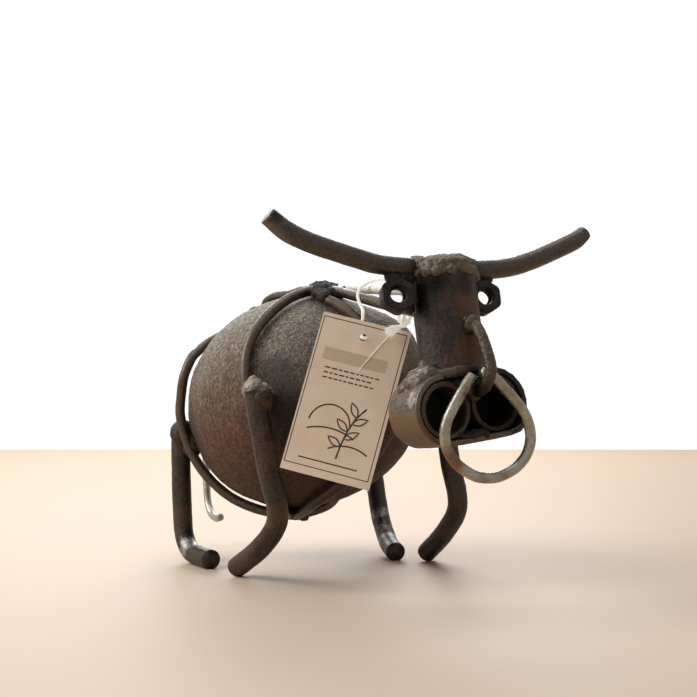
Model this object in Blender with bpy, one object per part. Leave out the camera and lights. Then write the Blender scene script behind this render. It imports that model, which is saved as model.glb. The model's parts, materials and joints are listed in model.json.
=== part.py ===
"""A small standing carabao welded from scrap steel bar, pipe, nuts and rod around a river stone.

The figure faces -Y, its left side is +X and it stands on z = 0. Sizes are in millimetres here and are
turned to metres where a shape is made. A card tag hangs on a string from the neck, and the nose ring
is loose in its hook.
"""

import math

import bmesh
import bpy
from mathutils import Matrix, Vector, noise

MM = 0.001
GAP = 0.3  # left between pieces that touch

# River stone
STONE_CENTRE = Vector((3.5, 9.0, 100.8))
STONE_HALF = Vector((69.0, 88.0, 65.4))
STONE_PITCH = math.radians(9.0)  # the rear hangs lower
STONE_TURN = Matrix.Rotation(-STONE_PITCH, 3, "X")
STONE_HOLLOWS = 1.1  # depth of the broad dents that water wore into it
# Places that stand proud of a plain egg, or lie in: how far, which way from the middle, and how narrow
STONE_SWELLS = (
    (7.0, Vector((0.60, -0.54, 0.59)), 14),
    (2.2, Vector((-0.42, 0.43, -0.80)), 8),
    (-1.4, Vector((0.72, -0.26, -0.64)), 5))

# Rod and bar stock
HOOP_DIAMETER = 6.0
CHEST_DIAMETER = 6.4
LOWER_STRUT_DIAMETER = 6.0
UPPER_STRUT_DIAMETER = 6.0
TAIL_DIAMETER = 5.0
LEG_DIAMETER = 12.0
HORN_DIAMETER = 10.0
HOOK_DIAMETER = 6.0
RING_DIAMETER = 5.5
STRING_DIAMETER = 1.6

# One-inch pipe that makes the face
PIPE_DIAMETER = 33.7
PIPE_WALL = 3.2
PIPE_TOP = Vector((-2.0, -150.4, 172.6))
PIPE_BOTTOM = Vector((-1.5, -161.6, 116.0))

# Muzzle: a band round two short tubes
MUZZLE_CENTRE = Vector((0.6, -161.2, 101.4))
MUZZLE_ROUND = 18.2  # outer radius of the band's round end, on the figure's right
MUZZLE_SPREAD = 15.0  # from the middle to the centre of each nostril
# The rest of the band's outside, across and up: along the bottom, round a tighter corner and over the top
MUZZLE_BEND = (
    (-8.0, -18.4), (2.0, -18.2), (13.0, -18.1), (22.0, -17.8), (27.2, -16.9), (30.4, -15.0), (32.6, -11.6),
    (34.0, -7.0), (34.6, -1.6), (33.9, 3.8), (31.6, 8.8), (28.0, 12.9), (23.4, 16.0), (17.0, 18.2), (8.0, 18.6),
    (0.0, 18.5), (-8.0, 18.3))
MUZZLE_DEPTH = 26.0
MUZZLE_WALL = 3.0
MUZZLE_TILT = math.radians(-6.5)  # the figure's left nostril sits higher
MUZZLE_PITCH = math.radians(-5.0)  # and the front sits higher than the back
NOSTRIL_RADIUS = 14.6
NOSTRIL_WALL = 2.6
NOSTRIL_DEPTH = 21.0
MUZZLE_BACK_THICKNESS = 2.4

# Hexagon nuts that make the eyes
NUT_FLATS = 17.0
NUT_THICKNESS = 8.0
NUT_HOLE = 9.0
RIGHT_EYE = Vector((-30.5, -153.5, 157.4))
LEFT_EYE = Vector((23.8, -151.5, 158.0))

# Card tag
TAG_WIDTH = 50.0
TAG_HEIGHT = 90.0
TAG_THICKNESS = 0.8
TAG_CENTRE = Vector((-23.2, -89.6, 104.2))
TAG_FACING = Vector((-0.547, -0.809, 0.216))
TAG_DOWN = Vector((-0.323, -0.035, -0.946))
TAG_HOLE = 4.2
TAG_HOLE_BELOW_TOP = 9.0

# Hinge of the nose ring, along X
RING_AXIS = Vector((0.0, -181.5, 119.0))

# Weld knots that gather the rods
TOP_KNOT = Vector((5.0, -18.0, 167.4))
BOTTOM_KNOT = Vector((-3.0, 12.0, 32.4))
RUMP_KNOT = Vector((-3.0, 58.0, 156.5))

STEEL_DARK = (0.060, 0.042, 0.032)
STEEL_RUST = (0.110, 0.055, 0.030)
STEEL_GREY = (0.120, 0.110, 0.100)
STEEL_ZINC = (0.420, 0.390, 0.310)
STONE_TAN = (0.230, 0.170, 0.115)
CARD_CREAM = (0.640, 0.490, 0.360)
COTTON_WHITE = (0.800, 0.780, 0.740)


def clear_scene():
    for leftover in list(bpy.data.objects):
        bpy.data.objects.remove(leftover)


def collection(name):
    made = bpy.data.collections.new(name)
    bpy.context.scene.collection.children.link(made)
    return made


clear_scene()
FIGURE = collection("scrap_metal_carabao")
CUTTERS = collection("cutters")


def material(name, colour, roughness, metallic):
    made = bpy.data.materials.new(name)
    made.use_nodes = True
    shader = made.node_tree.nodes["Principled BSDF"]
    shader.inputs["Base Color"].default_value = (*colour, 1.0)
    shader.inputs["Roughness"].default_value = roughness
    shader.inputs["Metallic"].default_value = metallic
    return made


DARK = material("mill scaled steel", STEEL_DARK, 0.55, 1.0)
RUST = material("rusted steel", STEEL_RUST, 0.65, 1.0)
GREY = material("bare steel", STEEL_GREY, 0.45, 1.0)
ZINC = material("galvanised rod", STEEL_ZINC, 0.4, 1.0)
STONE = material("river stone", STONE_TAN, 0.85, 0.0)
CARD = material("tag card", CARD_CREAM, 0.8, 0.0)
COTTON = material("cotton string", COTTON_WHITE, 0.9, 0.0)


# Making, joining and cutting


def mesh_object(name, shape, home=CUTTERS):
    """A new object from a bmesh drawn in millimetres."""
    bmesh.ops.scale(shape, vec=(MM, MM, MM), verts=shape.verts)
    mesh = bpy.data.meshes.new(name)
    shape.to_mesh(mesh)
    shape.free()
    made = bpy.data.objects.new(name, mesh)
    home.objects.link(made)
    return made


def spline_through(points, step):
    """Points about a step apart on one smooth curve through the given points."""
    ends = [points[0] * 2 - points[1], *points, points[-1] * 2 - points[-2]]
    route = []
    for before, start, end, after in zip(ends, ends[1:], ends[2:], ends[3:]):
        pieces = max(1, round((end - start).length / step))
        for i in range(pieces):
            t = i / pieces
            bend = (2 * before - 5 * start + 4 * end - after) * t * t
            twist = (3 * start - 3 * end + after - before) * t ** 3
            route.append((2 * start + (end - before) * t + bend + twist) / 2)
    route.append(points[-1])
    return route


def rod(name, points, diameter, grow=0.0, step=None, rounds=2):
    """A round bar with flat ends along a smooth curve, as a closed mesh."""
    curve = bpy.data.curves.new(name, "CURVE")
    curve.dimensions = "3D"
    curve.bevel_depth = (diameter / 2 + grow) * MM
    curve.bevel_resolution = rounds
    curve.use_fill_caps = True
    spline = curve.splines.new("POLY")
    route = spline_through(points, step or 2.0 * diameter)
    spline.points.add(len(route) - 1)
    for place, point in zip(spline.points, route):
        place.co = (*(point * MM), 1.0)
    bent = bpy.data.objects.new(name + "_curve", curve)
    CUTTERS.objects.link(bent)
    bpy.context.view_layer.update()
    evaluated = bent.evaluated_get(bpy.context.evaluated_depsgraph_get())
    mesh = bpy.data.meshes.new_from_object(evaluated)
    bpy.data.objects.remove(bent)
    shape = bmesh.new()
    shape.from_mesh(mesh)
    bpy.data.meshes.remove(mesh)
    bmesh.ops.remove_doubles(shape, verts=shape.verts, dist=1e-6)
    bmesh.ops.scale(shape, vec=(1 / MM, 1 / MM, 1 / MM), verts=shape.verts)
    return mesh_object(name, shape)


def lump(name, centre, radii, turn=(0.0, 0.0, 0.0), rough=0.9, seed=0.0, rounds=3):
    """A rough bead of weld metal, made from a ball."""
    shape = bmesh.new()
    bmesh.ops.create_icosphere(shape, subdivisions=rounds, radius=1.0)
    tilted = Matrix.Rotation(turn[1], 3, "Y") @ Matrix.Rotation(turn[0], 3, "X")
    turned = Matrix.Rotation(turn[2], 3, "Z") @ tilted
    for vert in shape.verts:
        out = vert.co.normalized()
        swell = rough * noise.noise(out * 2.2 + Vector((seed, 3.1, 7.7)))
        vert.co = turned @ Vector([out[k] * (radii[k] + swell) for k in range(3)]) + centre
    return mesh_object(name, shape)


def box(name, low, high):
    shape = bmesh.new()
    bmesh.ops.create_cube(shape, size=1.0)
    for vert in shape.verts:
        vert.co = Vector([low[k] if vert.co[k] < 0 else high[k] for k in range(3)])
    return mesh_object(name, shape)


def cylinder(name, start, end, radius, sides=32):
    shape = bmesh.new()
    along = end - start
    bmesh.ops.create_cone(
        shape, cap_ends=True, segments=sides, radius1=radius, radius2=radius, depth=along.length)
    facing = along.to_track_quat("Z", "Y").to_matrix().to_4x4()
    bmesh.ops.transform(shape, matrix=Matrix.Translation((start + end) / 2) @ facing, verts=shape.verts)
    return mesh_object(name, shape)


def apply_boolean(target, operation, others):
    """Joins or cuts a target with other objects, which are used up."""
    group = bpy.data.collections.new("used_up")
    bpy.context.scene.collection.children.link(group)
    for other in others:
        group.objects.link(other)
    step = target.modifiers.new("boolean", "BOOLEAN")
    step.operation = operation
    step.operand_type = "COLLECTION"
    step.collection = group
    bpy.context.view_layer.update()
    evaluated = target.evaluated_get(bpy.context.evaluated_depsgraph_get())
    mesh = bpy.data.meshes.new_from_object(evaluated)
    target.modifiers.clear()
    target.data = mesh
    for other in others:
        bpy.data.objects.remove(other)
    bpy.data.collections.remove(group)
    keep_largest(target)
    return target


def keep_largest(target):
    """Leaves only the largest closed surface of a mesh."""
    shape = bmesh.new()
    shape.from_mesh(target.data)
    bmesh.ops.remove_doubles(shape, verts=shape.verts, dist=2e-6)
    bmesh.ops.dissolve_degenerate(shape, edges=shape.edges, dist=2e-6)
    unseen = set(shape.verts)
    shells = []
    while unseen:
        shell = []
        edge = [unseen.pop()]
        while edge:
            vert = edge.pop()
            shell.append(vert)
            for link in vert.link_edges:
                other = link.other_vert(vert)
                if other in unseen:
                    unseen.remove(other)
                    edge.append(other)
        shells.append(shell)
    shells.sort(key=len)
    for shell in shells[:-1]:
        bmesh.ops.delete(shape, geom=shell, context="VERTS")
    bmesh.ops.triangulate(shape, faces=shape.faces)
    shape.to_mesh(target.data)
    shape.free()


def join(target, *others):
    return apply_boolean(target, "UNION", list(others)) if others else target


def cut(target, *others):
    return apply_boolean(target, "DIFFERENCE", list(others)) if others else target


def finish(made, name, look):
    """Names a finished piece, gives it its material and puts it in the figure."""
    made.name = name
    made.data.name = name
    made.data.materials.clear()
    made.data.materials.append(look)
    made.data.shade_smooth()
    made.data.set_sharp_from_angle(angle=math.radians(40))
    CUTTERS.objects.unlink(made)
    FIGURE.objects.link(made)
    return made


# The stone and the routes that lie on it


def swell(out):
    """How far the stone stands proud of a plain egg in a direction from its middle."""
    out = out.normalized()
    return sum(height * max(0.0, out.dot(toward)) ** narrow for height, toward, narrow in STONE_SWELLS)


def stone(grow=0.0):
    shape = bmesh.new()
    bmesh.ops.create_icosphere(shape, subdivisions=4, radius=1.0)
    for vert in shape.verts:
        out = vert.co.normalized()
        dent = STONE_HOLLOWS * abs(noise.noise(out * 1.6 + Vector((5.2, 1.3, 0.4))))
        proud = swell(out) - dent + grow
        vert.co = STONE_TURN @ Vector([out[k] * (STONE_HALF[k] + proud) for k in range(3)]) + STONE_CENTRE
    return mesh_object("stone", shape)


def on_stone(bearing, elevation, standoff):
    """A point over the stone. Bearing 0 is straight ahead, and the figure's left is positive."""
    b = math.radians(bearing)
    e = math.radians(elevation)
    out = Vector((math.cos(e) * math.sin(b), -math.cos(e) * math.cos(b), math.sin(e)))
    place = Vector([out[k] * (STONE_HALF[k] + swell(out)) for k in range(3)])
    normal = Vector([out[k] / STONE_HALF[k] for k in range(3)]).normalized()
    return STONE_CENTRE + STONE_TURN @ (place + normal * standoff)


def lift_off(point, distance):
    """Moves a point out until it is at least this far from the stone's surface."""
    away = STONE_TURN.transposed() @ (point - STONE_CENTRE)
    level = math.sqrt(sum((away[k] / STONE_HALF[k]) ** 2 for k in range(3)))
    slope = Vector([away[k] / STONE_HALF[k] ** 2 for k in range(3)])
    height = (level - 1.0) * level / slope.length - swell(Vector([away[k] / STONE_HALF[k] for k in range(3)]))
    if height >= distance:
        return point
    return point + STONE_TURN @ slope.normalized() * (distance - height)


def laid_rod(name, points, diameter, grow=0.0):
    """A rod whose route stays just off the stone."""
    route = spline_through(points, 2.0 * diameter)
    clear = diameter / 2 + GAP + 0.25
    return rod(name, [lift_off(point, clear) for point in route], diameter, grow, step=100.0)


HOOP_LIFT = HOOP_DIAMETER / 2 + GAP + 0.3
# Bearing, elevation and height over the stone, from the top knot down to the bottom knot
FRONT_RIGHT_STATIONS = (
    (-22, 61.5, HOOP_LIFT), (-38, 54.5, HOOP_LIFT), (-48.5, 44, HOOP_LIFT), (-55, 33, HOOP_LIFT),
    (-58, 24, HOOP_LIFT), (-59, 14, HOOP_LIFT), (-58.5, 4, HOOP_LIFT), (-57, -8, 4.0), (-57, -22, 4.2),
    (-58.5, -38, 4.0), (-64, -58, HOOP_LIFT))
FRONT_LEFT_STATIONS = (
    (62, 74, HOOP_LIFT), (92, 62, HOOP_LIFT), (86, 44, HOOP_LIFT), (73, 27, HOOP_LIFT),
    (63, 13, HOOP_LIFT), (58, 4, HOOP_LIFT))
REAR_RIGHT_STATIONS = (
    (-150, 50, HOOP_LIFT), (-132, 40, HOOP_LIFT), (-117, 28, 4.4), (-115, 18, 4.6), (-117, 8, 4.1),
    (-118, -1, 4.5), (-119, -12, 4.2), (-121, -25, 3.9), (-122, -38, 3.6), (-124, -51, 3.6),
    (-126, -64, 3.6), (-131, -76, 3.8))
REAR_LEFT_STATIONS = (
    (150, 46, HOOP_LIFT), (133, 34, 4.2), (124, 20, 4.6), (121, 6, 5.0), (120, -9, 5.0),
    (120, -25, 4.6), (120, -41, 4.2), (122, -58, 3.6), (128, -72, 3.6))
CHEST_STATIONS = (
    (-18, 57, 4.4), (-14, 48, 3.8), (-9.5, 43, 3.8), (-5.5, 37, 3.8), (-0.5, 26.7, 3.8), (3.5, 14, 3.8),
    (6.4, 0, 3.8), (7.8, -13, 3.8), (7.2, -23.5, 3.8), (4.8, -31, 3.8), (2, -37.5, 3.8), (-4.3, -46.3, 3.8),
    (-12.4, -54.2, 3.8), (-21.3, -62, 3.8), (-32.6, -69.4, 3.8))
SPINE_STATIONS = ((-160, 78, 6.5), (-170, 67, 7.0), (-172, 56, 5.6), (-174, 42, 3.6), (-175, 28, 4.5))
TAIL_FALL = (
    Vector((-7.0, 105.0, 119.0)), Vector((-8.6, 120.0, 106.0)), Vector((-9.8, 127.5, 86.0)),
    Vector((-10.2, 128.5, 62.0)), Vector((-10.2, 127.5, 40.0)), Vector((-10.4, 125.0, 29.0)),
    Vector((-10.8, 118.5, 21.5)), Vector((-11.2, 109.5, 19.0)), Vector((-11.6, 101.5, 20.3)))


def hoop(name, stations, grow, diameter=HOOP_DIAMETER, to_bottom=True, start=TOP_KNOT):
    points = [start]
    points += [on_stone(*station) for station in stations]
    if to_bottom:
        points.append(BOTTOM_KNOT)
    return laid_rod(name, points, diameter, grow)


def front_right_hoop(grow=0.0):
    return hoop("hoop_front_right", FRONT_RIGHT_STATIONS, grow)


def front_left_hoop(grow=0.0):
    return hoop("hoop_front_left", FRONT_LEFT_STATIONS, grow, to_bottom=False)


def rear_right_hoop(grow=0.0):
    return hoop("hoop_rear_right", REAR_RIGHT_STATIONS, grow, start=RUMP_KNOT)


def rear_left_hoop(grow=0.0):
    return hoop("hoop_rear_left", REAR_LEFT_STATIONS, grow, start=RUMP_KNOT)


def chest_hoop(grow=0.0):
    return hoop("hoop_chest", CHEST_STATIONS, grow, CHEST_DIAMETER)


def tail(grow=0.0):
    """The pale rod that runs back along the spine and hangs as the tail."""
    points = [TOP_KNOT, *[on_stone(*station) for station in SPINE_STATIONS], *TAIL_FALL]
    return laid_rod("tail", points, TAIL_DIAMETER, grow)


def top_knot(grow=0.0):
    g = grow
    heap = lump("knot_top", TOP_KNOT, (11.0 + g, 12.0 + g, 5.6 + g), (0.0, 0.0, 0.3), 1.4, 1.0)
    crest = lump("crest", TOP_KNOT + Vector((-3.0, 2.0, 3.0)), (6.0 + g, 8.0 + g, 3.6 + g), (0, 0, 0.8), 1.0, 4.0)
    return join(heap, crest)


def bottom_knot(grow=0.0):
    g = grow
    heap = lump("knot_bottom", BOTTOM_KNOT, (9.5 + g, 13.0 + g, 4.6 + g), (0.0, 0.0, -0.4), 1.4, 2.0)
    bead = (3.4 + g, 3.4 + g, 3.2 + g)
    drip = lump("drip", BOTTOM_KNOT + Vector((4.0, -7.0, -2.4)), bead, rough=0.8, seed=6.0, rounds=2)
    return join(heap, drip)


def rump_knot(grow=0.0):
    g = grow
    return lump("knot_rump", RUMP_KNOT, (8.0 + g, 6.5 + g, 5.0 + g), (0.3, 0.0, 0.2), 1.2, 3.0)


def build_stone_and_cage():
    finish(stone(), "stone", STONE)
    finish(cut(top_knot(), stone(GAP)), "knot_top", DARK)
    finish(cut(bottom_knot(), stone(GAP)), "knot_bottom", DARK)
    finish(cut(rump_knot(), stone(GAP), tail(GAP)), "knot_rump", DARK)
    finish(cut(tail(), top_knot(GAP)), "tail", ZINC)
    finish(cut(front_right_hoop(), top_knot(GAP), bottom_knot(GAP), chest_hoop(GAP)), "hoop_front_right", GREY)
    finish(cut(front_left_hoop(), top_knot(GAP), tail(GAP), upper_strut(GAP)), "hoop_front_left", GREY)
    finish(cut(rear_right_hoop(), rump_knot(GAP), bottom_knot(GAP), tail(GAP)), "hoop_rear_right", GREY)
    rear_left = cut(rear_left_hoop(), rump_knot(GAP), bottom_knot(GAP), tail(GAP), rear_right_hoop(GAP))
    finish(rear_left, "hoop_rear_left", GREY)
    finish(cut(chest_hoop(), top_knot(GAP), bottom_knot(GAP), lower_strut(GAP)), "hoop_chest", RUST)


# Legs


LEG_ROUTES = {
    "rear_right": [
        (-58, 59, 82), (-58, 59, 66), (-57.5, 58.5, 40), (-57, 56.5, 18), (-56.5, 47, 7.6), (-56, 32, 5.8),
        (-56, 17, 5.7)],
    "front_right": [
        (-59.5, -50, 109), (-57.5, -53, 90), (-54.5, -57, 65), (-50.5, -60, 45), (-49.3, -56, 33),
        (-51.2, -40, 19), (-53.3, -14, 5.0)],
    "rear_left": [
        (73.5, 52, 88), (74, 48, 70), (73.5, 40, 45), (71.5, 30, 24), (68, 17, 12), (63.3, 4, 7.4),
        (58.5, -10, 5.6)],
    "front_left": [
        (65.5, -54, 110), (66.3, -54.5, 90), (67.8, -57, 65), (70.8, -60, 45), (72.3, -56, 33),
        (73.8, -40, 18.5), (76.6, -18, 4.95)],
}
WELD_AT_TOP = {
    "rear_right": ((-57.8, 57.5, 80.5), (7.6, 7.8, 8.4)),
    "front_right": ((-58.0, -48.0, 110.5), (6.8, 7.0, 7.0)),
    "rear_left": ((72.0, 51.5, 88.0), (7.4, 7.6, 9.0)),
    "front_left": ((64.5, -52.5, 111.5), (7.4, 7.6, 7.8)),
}
SPUR_ON_WELD = {
    "rear_right": ((-53.5, 51.0, 73.0), (6.0, 6.5, 8.5)),
    "front_right": ((-52.5, -53.0, 107.5), (6.0, 3.0, 2.6)),
    "rear_left": ((69.5, 47.5, 82.0), (4.2, 4.2, 6.0)),
    "front_left": ((60.5, -52.0, 106.5), (4.0, 3.4, 4.0)),
}
HOOP_BY_LEG = {
    "rear_right": rear_right_hoop,
    "front_right": front_right_hoop,
    "rear_left": rear_left_hoop,
    "front_left": front_left_hoop,
}


def leg(where):
    """A bent bar that kicks back or forward at the foot, with its weld to the hoop at the top."""
    points = [Vector(point) for point in LEG_ROUTES[where]]
    bar = rod("leg_" + where, points, LEG_DIAMETER, step=9.0, rounds=4)
    seed = float(len(where)) + (3.0 if "left" in where else 0.0)
    bead = lump("bead", Vector(WELD_AT_TOP[where][0]), WELD_AT_TOP[where][1], rough=1.5, seed=seed)
    spur = lump("spur", Vector(SPUR_ON_WELD[where][0]), SPUR_ON_WELD[where][1], rough=1.0, seed=seed + 1, rounds=2)
    return join(bar, bead, spur)


def below_floor():
    return box("below_floor", (-150.0, -250.0, -40.0), (150.0, 200.0, 0.0))


def build_legs():
    for where in LEG_ROUTES:
        finish(cut(leg(where), HOOP_BY_LEG[where](GAP), stone(GAP), below_floor()), "leg_" + where, DARK)


# Head


def pipe_solid(name, radius, beyond=0.0):
    along = (PIPE_BOTTOM - PIPE_TOP).normalized()
    return cylinder(name, PIPE_TOP - along * beyond, PIPE_BOTTOM + along * beyond, radius)


MUZZLE_TURN = Matrix.Rotation(MUZZLE_TILT, 3, "Y") @ Matrix.Rotation(MUZZLE_PITCH, 3, "X")


def muzzle_outline(inset, sides=20):
    """The muzzle's closed outline, across and up, moved in by a distance."""
    ring = []
    for i in range(sides + 1):
        turn = math.pi / 2 + math.pi * i / sides
        ring.append(Vector((MUZZLE_ROUND * math.cos(turn) - MUZZLE_SPREAD, MUZZLE_ROUND * math.sin(turn))))
    ring += [Vector(point) for point in MUZZLE_BEND]
    moved = []
    for before, point, after in zip(ring[-1:] + ring[:-1], ring, ring[1:] + ring[:1]):
        first, second = (point - before).normalized(), (after - point).normalized()
        inward = (Vector((-first.y, first.x)) + Vector((-second.y, second.x))).normalized()
        moved.append(point + inward * inset / max(0.5, inward.dot(Vector((-first.y, first.x)))))
    return moved


def muzzle_oval(name, inset, front, back):
    """A solid of the muzzle's outline moved in, between two planes given as depths from its middle."""
    shape = bmesh.new()
    verts = [shape.verts.new((point.x, front, point.y)) for point in muzzle_outline(inset)]
    face = shape.faces.new(verts)
    pulled = bmesh.ops.extrude_face_region(shape, geom=[face])
    moved = [part for part in pulled["geom"] if isinstance(part, bmesh.types.BMVert)]
    bmesh.ops.translate(shape, vec=(0.0, back - front, 0.0), verts=moved)
    bmesh.ops.recalc_face_normals(shape, faces=shape.faces)
    place = Matrix.Translation(MUZZLE_CENTRE) @ MUZZLE_TURN.to_4x4()
    bmesh.ops.transform(shape, matrix=place, verts=shape.verts)
    return mesh_object(name, shape)


def on_muzzle(x, y, z):
    """A point given from the muzzle's middle, across, back and up."""
    return MUZZLE_CENTRE + MUZZLE_TURN @ Vector((x, y, z))


def muzzle_block(grow=GAP):
    half = MUZZLE_DEPTH / 2 + grow
    return muzzle_oval("muzzle_block", -grow, -half, half)


def build_muzzle():
    half = MUZZLE_DEPTH / 2
    band = muzzle_oval("muzzle_band", 0.0, -half, half)
    shoulder = lump(
        "shoulder", on_muzzle(-17.0, 2.0, 16.0), (12.0, 9.0, 5.0), (0.0, -0.5, 0.2), 1.2, 9.0)
    join(band, shoulder)
    hollow = muzzle_oval("hollow", MUZZLE_WALL, -half - 5, half + 5)
    cut(band, hollow, pipe_solid("pipe", PIPE_DIAMETER / 2 + GAP, 5.0))
    finish(band, "muzzle_band", GREY)
    back = muzzle_oval("muzzle_back", MUZZLE_WALL + GAP, half - 0.6 - MUZZLE_BACK_THICKNESS, half - 0.6)
    finish(back, "muzzle_back", DARK)
    for side, where in ((-1, "right"), (1, "left")):
        front = on_muzzle(side * MUZZLE_SPREAD, -half + 0.4, 0.0)
        rear = on_muzzle(side * MUZZLE_SPREAD, -half + 0.4 + NOSTRIL_DEPTH, 0.0)
        reach = Vector((0.0, 5.0, 0.0))
        tube = cylinder("nostril", front, rear, NOSTRIL_RADIUS)
        cut(tube, cylinder("bore", front - reach, rear + reach, NOSTRIL_RADIUS - NOSTRIL_WALL))
        finish(tube, "nostril_" + where, DARK)


def crown(grow=0.0):
    """The rough cap of weld metal that closes the pipe between the horns."""
    g = grow
    along = (PIPE_TOP - PIPE_BOTTOM).normalized()
    dome = lump("crown", PIPE_TOP + along * 1.0, (17.4 + g, 17.0 + g, 4.6 + g), (-0.19, 0.0, 0.0), 1.3, 5.0)
    heaps = [
        lump("ridge", PIPE_TOP + along * 3.2 + Vector((-2.0, 0.0, 0.0)), (10.0 + g, 9.0 + g, 3.2 + g), seed=7.0),
        lump("lobe", PIPE_TOP + Vector((-13.5, 0.0, 1.4)), (6.4 + g, 7.4 + g, 4.6 + g), seed=9.0, rounds=2)]
    return join(dome, *heaps)


RIGHT_HORN = (
    (-14.0, -150.2, 172.0), (-38, -150.2, 173.0), (-50, -150, 175.3), (-61, -149.5, 178.0),
    (-72, -149, 180.8), (-82, -148, 184.0), (-90, -147, 187.8), (-99, -146, 194.0))
LEFT_HORN = (
    (14.0, -150.2, 172.0), (36, -150.2, 173.9), (51, -150, 177.2), (65, -149, 182.0),
    (79, -148, 187.4), (89, -147, 191.6), (95.6, -146, 194.8))


def horn(where):
    """A tapering bar whose tip is cut off at a slant."""
    points = [Vector(point) for point in (RIGHT_HORN if where == "right" else LEFT_HORN)]
    bar = rod("horn", points, HORN_DIAMETER, step=8.0, rounds=4)
    tip = points[-1]
    side = -1.0 if where == "right" else 1.0
    slant = box("slant", (-20.0, -12.0, -14.0), (20.0, 12.0, 0.0))
    reach, rise, drop = (3.5, 0.7, 0.78) if where == "right" else (2.0, 2.2, 0.9)
    place = Matrix.Translation((tip + Vector((side * reach, 0.0, rise))) * MM)
    lean = Matrix.Rotation(side * -drop, 4, "Y") @ Matrix.Rotation(0.25 * side, 4, "X")
    slant.data.transform(place @ lean)
    return cut(bar, slant)


def nut(where):
    """An eye: a hexagon nut with its weld to the pipe and, above, to the horn."""
    centre = RIGHT_EYE if where == "right" else LEFT_EYE
    side = -1.0 if where == "right" else 1.0
    facing = Vector((-0.27, -0.87, 0.30)) if where == "right" else Vector((-0.16, -0.92, 0.23))
    facing.normalize()
    half = facing * NUT_THICKNESS / 2
    body = cylinder("eye", centre - half, centre + half, NUT_FLATS / math.sqrt(3), sides=6)
    bevel = cylinder("round", centre - half * 1.2, centre + half * 1.2, NUT_FLATS / math.sqrt(3) - 0.55, sides=24)
    apply_boolean(body, "INTERSECT", [bevel])
    toward_pipe = centre + Vector((-side * 7.6, 1.5, -1.0))
    toward_horn = centre + Vector((side * 1.5, 1.5, 9.6))
    inward = lump("inward", toward_pipe, (3.6, 3.6, 6.0), rough=0.8, seed=2.0, rounds=2)
    upward = lump("upward", toward_horn, (5.0, 3.2, 3.6), rough=0.8, seed=3.5, rounds=2)
    join(body, inward, upward)
    return cut(body, cylinder("hole", centre - half * 3, centre + half * 3, NUT_HOLE / 2, sides=24))


def grown_horn(where):
    points = [Vector(point) for point in (RIGHT_HORN if where == "right" else LEFT_HORN)]
    return rod("horn_room", points, HORN_DIAMETER, GAP, step=8.0, rounds=4)


def build_face():
    pipe = pipe_solid("face_pipe", PIPE_DIAMETER / 2)
    cut(pipe, pipe_solid("bore", PIPE_DIAMETER / 2 - PIPE_WALL, 20.0), crown(GAP), muzzle_block())
    finish(pipe, "face_pipe", RUST)
    finish(crown(), "crown_weld", RUST)
    for where in ("right", "left"):
        finish(cut(horn(where), crown(GAP), pipe_solid("pipe", PIPE_DIAMETER / 2 + GAP)), "horn_" + where, DARK)
        eye = cut(nut(where), pipe_solid("pipe", PIPE_DIAMETER / 2 + GAP), grown_horn(where))
        finish(eye, "eye_" + where, DARK)


HOOK_ROUTE = (
    (0.5, -168, 144.5), (0.5, -176, 143.0), (0.5, -181.5, 138.0), (0.5, -186.4, 130.0), (0.3, -190.2, 121.0),
    (0, -187.5, 114.0), (0, -181.5, 110.4), (0, -174.0, 109.5))


def build_hook():
    points = [Vector(point) for point in HOOK_ROUTE]
    hook = rod("nose_hook", points, HOOK_DIAMETER, step=3.5, rounds=3)
    blob = lump("blob", Vector((0.2, -174.6, 143.2)), (4.6, 3.8, 5.2), (0.2, 0.0, 0.0), 1.2, 8.0)
    foot = lump("foot", Vector((0.0, -177.0, 109.2)), (4.4, 3.2, 4.6), (0.0, 0.0, 0.0), 0.9, 4.4, 2)
    join(hook, blob, foot)
    cut(hook, pipe_solid("pipe", PIPE_DIAMETER / 2 + GAP), muzzle_block())
    finish(hook, "nose_hook", RUST)


# Across and up from the ring's hinge: the bow of the loose ring, from its cut end round to the other
RING_BOW = (
    (-4.6, -1.2), (-7.4, -4.6), (-11.6, -10.4), (-15.8, -16.6), (-19.4, -23.0), (-20.9, -29.5), (-19.8, -36.0),
    (-16.0, -42.0), (-10.4, -46.8), (-3.0, -50.6), (5.4, -52.0), (13.8, -51.0), (22.4, -47.2), (28.6, -41.4),
    (31.3, -34.4), (30.6, -27.2), (27.0, -19.6), (20.6, -12.6), (14.8, -7.4), (9.6, -3.0), (5.6, -0.5), (3.4, 0.0),
    (0.6, 0.0))


def build_ring():
    points = [RING_AXIS + Vector((across, 0.0, up)) for across, up in RING_BOW]
    finish(rod("nose_ring", points, RING_DIAMETER, step=9.0, rounds=3), "nose_ring", ZINC)


LOWER_STRUT = (
    (4.0, -18.0, 169.0), (2.5, -40.0, 165.8), (1.5, -70.0, 160.4), (1.0, -100.0, 155.0), (0.0, -145.0, 148.0))
UPPER_STRUT = ((9.0, -18.0, 168.6), (9.0, -50.0, 167.8), (7.5, -90.0, 165.0), (6.0, -145.0, 162.0))


def lower_strut(grow=0.0):
    return rod("strut", [Vector(point) for point in LOWER_STRUT], LOWER_STRUT_DIAMETER, grow)


def upper_strut(grow=0.0):
    return rod("strut", [Vector(point) for point in UPPER_STRUT], UPPER_STRUT_DIAMETER, grow)


def build_neck():
    pipe_room = PIPE_DIAMETER / 2 + GAP
    finish(cut(lower_strut(), top_knot(GAP), stone(GAP), pipe_solid("pipe", pipe_room)), "neck_strut_lower", RUST)
    upper = cut(upper_strut(), top_knot(GAP), pipe_solid("pipe", pipe_room), lower_strut(GAP))
    finish(upper, "neck_strut_upper", ZINC)


# Tag and its string


def tag_axes():
    facing = TAG_FACING.normalized()
    down = (TAG_DOWN - facing * TAG_DOWN.dot(facing)).normalized()
    across = facing.cross(down)
    return across, -down, facing


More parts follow.
